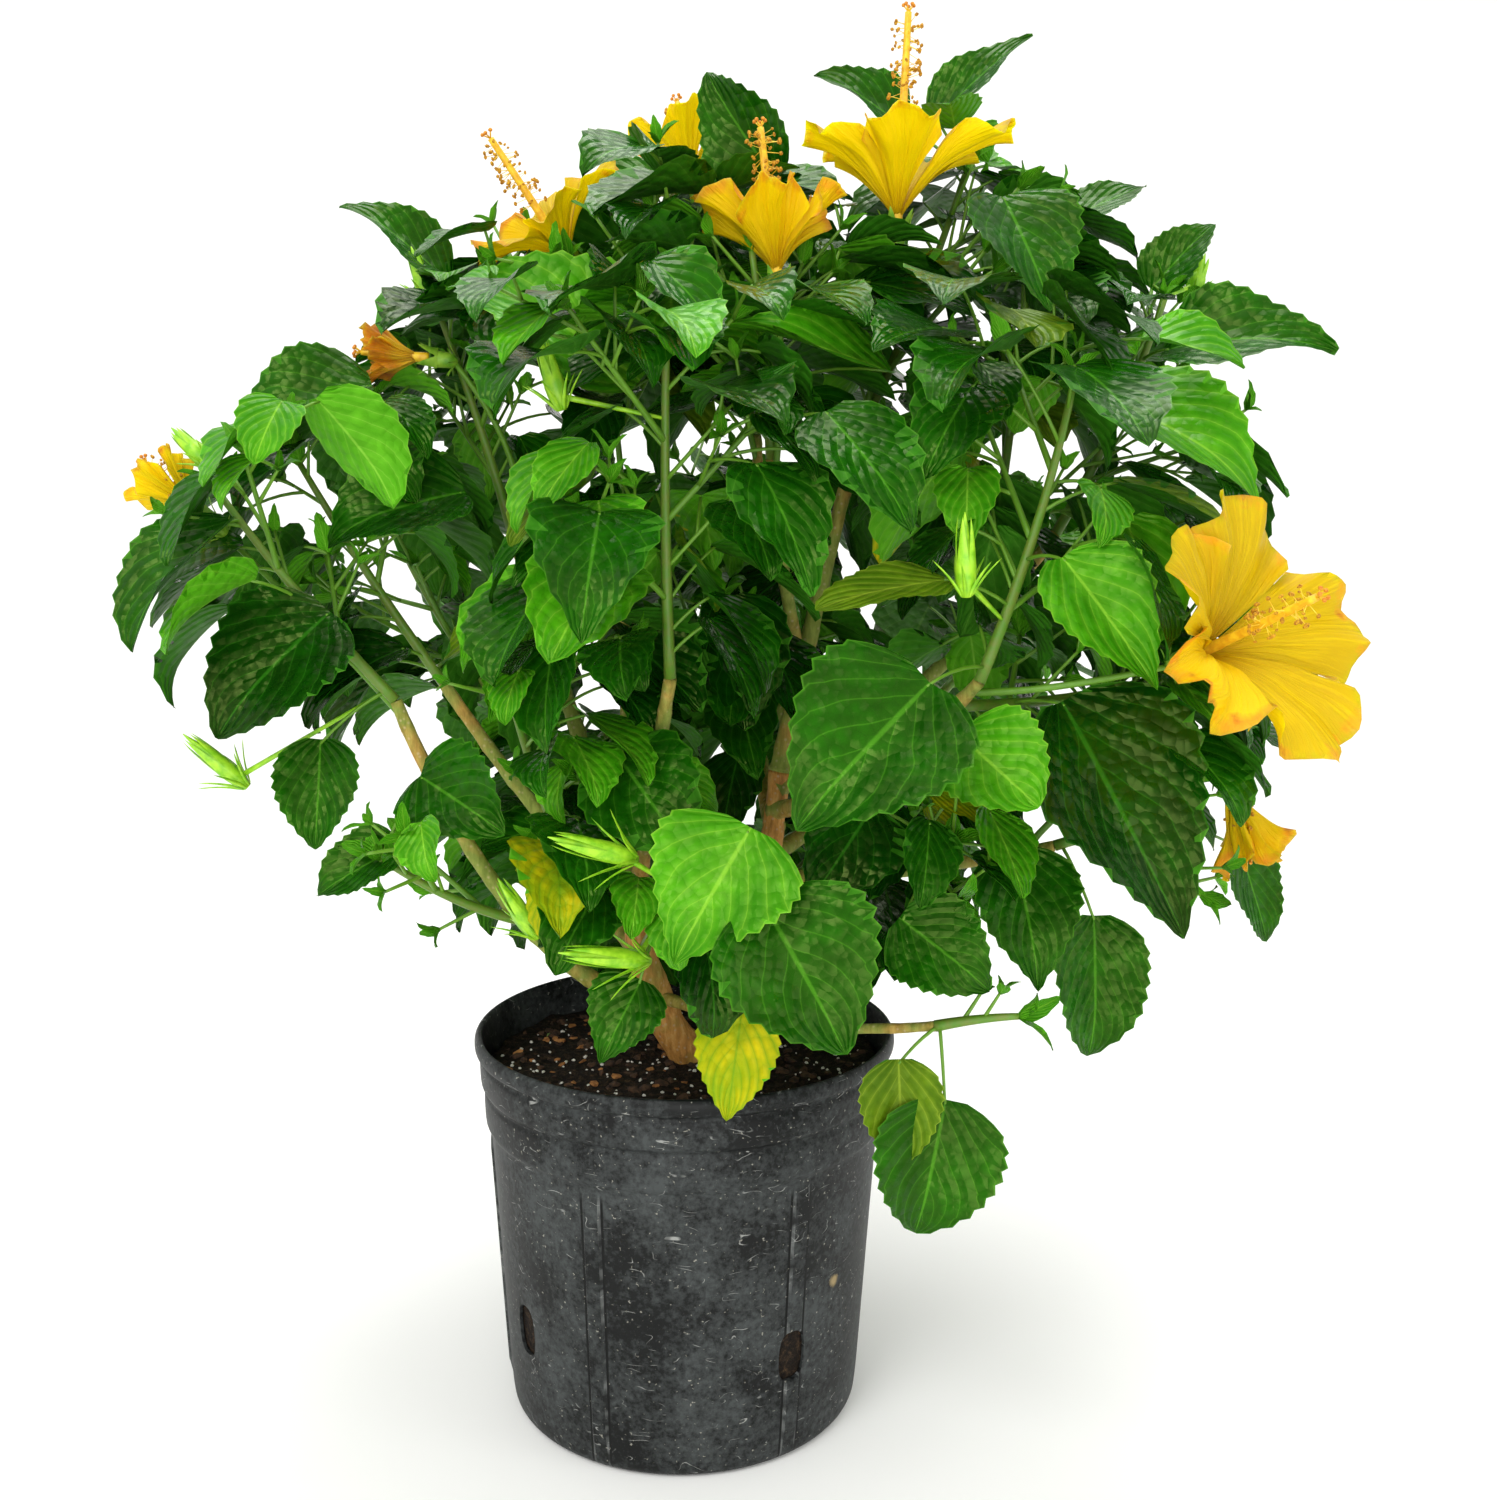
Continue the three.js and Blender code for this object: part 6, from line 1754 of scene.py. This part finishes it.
# The pale edge line is rubbed wear and painted highlight, broken up here and there.
wear_and_highlight_patches = add(tree, "MapRange", {0: bits, 1: 0.46, 2: 0.66, 3: 0.03, 4: 0.36})
rubbed_and_highlit = add(tree, "Math", {0: edge, 1: wear_and_highlight_patches}, operation="MULTIPLY")
rubbed_and_highlit = add(tree, "Math", {0: rubbed_and_highlit, 1: height}, operation="MULTIPLY")
# Painted shadow: the dark line beside each rib.
painted_rib_shadow = add(tree, "Math", {0: foot, 1: height}, operation="MULTIPLY")
rib_shadowed = add(tree, "Mix", {0: painted_rib_shadow, 6: scuffed, 7: "#080909"}, data_type="RGBA")
scuffed = add(tree, "Mix", {0: rubbed_and_highlit, 6: rib_shadowed, 7: "#8e918f"}, data_type="RGBA")
# Specks of dust, drawn at 2 mm, which is coarser than real ones.
specks = add(tree, "TexNoise", {"Vector": place, "Scale": 420.0, "Detail": 2.0})
speck = add(tree, "MapRange", {0: specks, 1: 0.68, 2: 0.74, 3: 0.0, 4: 0.45})
specked = add(tree, "Mix", {0: speck, 6: scuffed, 7: "#b8b5a8"}, data_type="RGBA")
# One smear of dried mud, front right.
SMEAR_AT = (0.093, -0.072, 0.107)
add(tree, "VectorMath", {0: place, 1: SMEAR_AT}, operation="DISTANCE")
smear_far = tree.nodes[-1].outputs["Value"]
ragged = add(tree, "Math", {0: cloud, 1: -0.03, 2: smear_far}, operation="MULTIPLY_ADD")
smear = add(tree, "MapRange", {0: ragged, 1: -0.0125, 2: -0.0095, 3: 0.8, 4: 0.0})
smeared = add(tree, "Mix", {0: smear, 6: specked, 7: "#a08c62"}, data_type="RGBA")
satin = add(tree, "MapRange", {0: cloud, 1: 0.3, 2: 0.7, 3: 0.42, 4: 0.62})
tree.links.new(satin, shader.inputs["Roughness"])
skin = add(tree, "Math", {0: drag, 1: 0.5, 2: specks}, operation="MULTIPLY_ADD")
finish_surface(tree, shader, smeared, skin, 0.2, 0.5)
finished(pot, [hdpe], ["pot"])

# %% [markdown]
# ## Potting mix
#
# The mix is dark peat and composted bark with white perlite, which is volcanic glass puffed like
# popcorn. The bed is one closed body with a lumpy top. Chips of bark, perlite and a few pellets
# of slow fertiliser lie on it, and Geometry Nodes scatter them.

# %% Soil bed
# Damp peat with fines of bark: nearly black and without gloss, in crumbs of about 4 mm with lit
# tan edges, so that it looks loose.
peat, tree, shader = new_material("damp_peat_and_bark_fines", Roughness=0.95,
                                  Specular_IOR_Level=0.2)
crumbs = add(tree, "TexNoise", {"Vector": object_place(tree), "Scale": 260.0,
                                          "Detail": 6.0, "Roughness": 0.7})
colour = add(tree, "ValToRGB", {0: crumbs},
             stops=[(0.3, "#0c0907"), (0.5, "#1e1711"), (0.62, "#3c2e20"), (0.78, "#6a5236")])
finish_surface(tree, shader, colour, crumbs, 2.0, 1.0)

RINGS, SPOKES, BED_EDGE = 46, 120, 121.6  # the bed's edge lies against the pot's wall


def soil_height(x, y):
    """The bed's relief: lumps, crumbs and a little mound round the stems."""
    lumps = (3.2 * noise.noise(Vector((x, y, 0)) * 0.03)
             + 2.0 * noise.noise(Vector((x, y, 9)) * 0.09))
    crumbs = 1.5 * noise.noise(Vector((x, y, 5)) * 0.26)
    mound = 5.0 * math.exp(-((x - 14) ** 2 + y * y) / 1500)
    return SOIL_TOP + lumps + crumbs + mound - 1.0


def soil_body():
    """The lumpy top from the middle out, then down inside the wall to the pot's floor."""
    turn = 2 * math.pi * np.arange(SPOKES) / SPOKES
    points = []
    for ring in range(1, RINGS + 1):
        for a in turn:
            x, y = (BED_EDGE * ring / RINGS * part for part in (math.cos(a), math.sin(a)))
            points.append((x, y, soil_height(x, y)))
    for out, level in ((BED_EDGE - 0.2, 213), (119.0, 181), (107.9, 12), (103, 2.5)):
        points += [(out * math.cos(a), out * math.sin(a), level) for a in turn]
    grid, near, quads = ring_quads(len(points) // SPOKES, SPOKES)
    points += [(0, 0, soil_height(0, 0)), (0, 0, 2.5)]
    faces = quads.tolist()
    faces += [[len(points) - 2, int(a), int(b)] for a, b in zip(grid[0], near[0])]
    faces += [[len(points) - 1, int(b), int(a)] for a, b in zip(grid[-1], near[-1])]
    mesh = mesh_of("soil_bed", points, faces)
    mesh.shade_smooth()
    return mesh


soil = bpy.data.objects.new("soil_bed", soil_body())
finished(soil, [peat], ["soil"])

# %% Loose pieces on the bed
# Composted bark is dull and fibrous, perlite is a chalk-white froth of glass, and a pellet has a
# smooth green coat. Against the dark bed they give the eye its scale.
bark_tan = drifting("composted_bark_tan", "#7a4a1e", "#b98048", 300.0, 0.5, Roughness=0.85)
bark_dark = drifting("composted_bark_dark", "#241710", "#543a26", 300.0, 0.5, Roughness=0.9)
perlite = drifting("puffed_perlite_white", "#c9c4b8", "#f0ede4", 900.0, 0.3, Roughness=0.9)
fertiliser = drifting("fertiliser_pellet_green", "#5e8038", "#8fae5a", 500.0, 0.1, Roughness=0.45)

loose, given_by, result = new_geometry_tree("loose_pieces", [
    ("Density", "NodeSocketFloat", 9000.0), ("Piece size", "NodeSocketFloat", 0.003),
    ("Flatness", "NodeSocketFloat", 0.4), ("Roughness", "NodeSocketFloat", 0.0012),
    ("Seed", "NodeSocketInt", 1), ("Material", "NodeSocketMaterial", None),
])
lump = add(loose, "GeometryNodeMeshIcoSphere", {"Radius": given_by["Piece size"],
                                                "Subdivisions": 1})
squash = add(loose, "CombineXYZ", {"X": 1.0, "Y": 0.72, "Z": given_by["Flatness"]})
lump = add(loose, "GeometryNodeTransform", {"Geometry": lump, "Scale": squash})
real = scattered(loose, given_by, lump, (0.45, 1.35), False)
# Each point moves a little, so that no two pieces are alike.
where = add(loose, "GeometryNodeInputPosition")
add(loose, "TexNoise", {"Vector": where, "Scale": 420.0, "Detail": 1.0})
torn = loose.nodes[-1].outputs["Color"]
centred = add(loose, "VectorMath", {0: torn, 1: (0.5, 0.5, 0.5)}, operation="SUBTRACT")
moved = add(loose, "VectorMath", {0: centred, "Scale": given_by["Roughness"]}, operation="SCALE")
shaped = add(loose, "GeometryNodeSetPosition", {"Geometry": real, "Offset": moved})
dressed = add(loose, "GeometryNodeSetMaterial", {"Geometry": shaped,
                                                 "Material": given_by["Material"]})
loose.links.new(dressed, result)


# %% Scattering them
BED_CLEAR = 0.117  # metres from the middle, so that no piece reaches into the wall


def bed_patch(keep):
    """The bed's top faces where `keep` says so, to scatter on."""
    points = [tuple(v.co) for v in soil.data.vertices]
    tops = [tuple(face.vertices) for face in soil.data.polygons
            if face.normal.z > 0.3 and face.center.to_2d().length < BED_CLEAR and keep(face.center)]
    mesh = bpy.data.meshes.new("bed_patch")
    mesh.from_pydata(points, [], tops)
    return mesh


def anywhere(centre):
    return True


def left_or_front(centre):
    return centre.x < 0.03 or centre.y < -0.05


# Name, material, pieces for each square metre, size, flatness and roughness in metres, seed, place.
SCATTER = [
    ("bark_chips_dark", bark_dark, 5200.0, 0.0042, 0.35, 0.003, 11, anywhere),
    ("bark_chips_tan", bark_tan, 2600.0, 0.0036, 0.32, 0.003, 12, left_or_front),
    ("perlite", perlite, 5200.0, 0.0013, 0.85, 0.001, 13, anywhere),
    ("fertiliser", fertiliser, 160.0, 0.002, 1.0, 0.0002, 14, anywhere),
]
for name, material, density, size, flatness, rough, seed, keep in SCATTER:
    mesh = grown_on(bed_patch(keep), loose, {
        "Density": density, "Piece size": size, "Flatness": flatness, "Roughness": rough,
        "Seed": seed, "Material": material})
    finished(bpy.data.objects.new(name, mesh), [material], ["soil"])
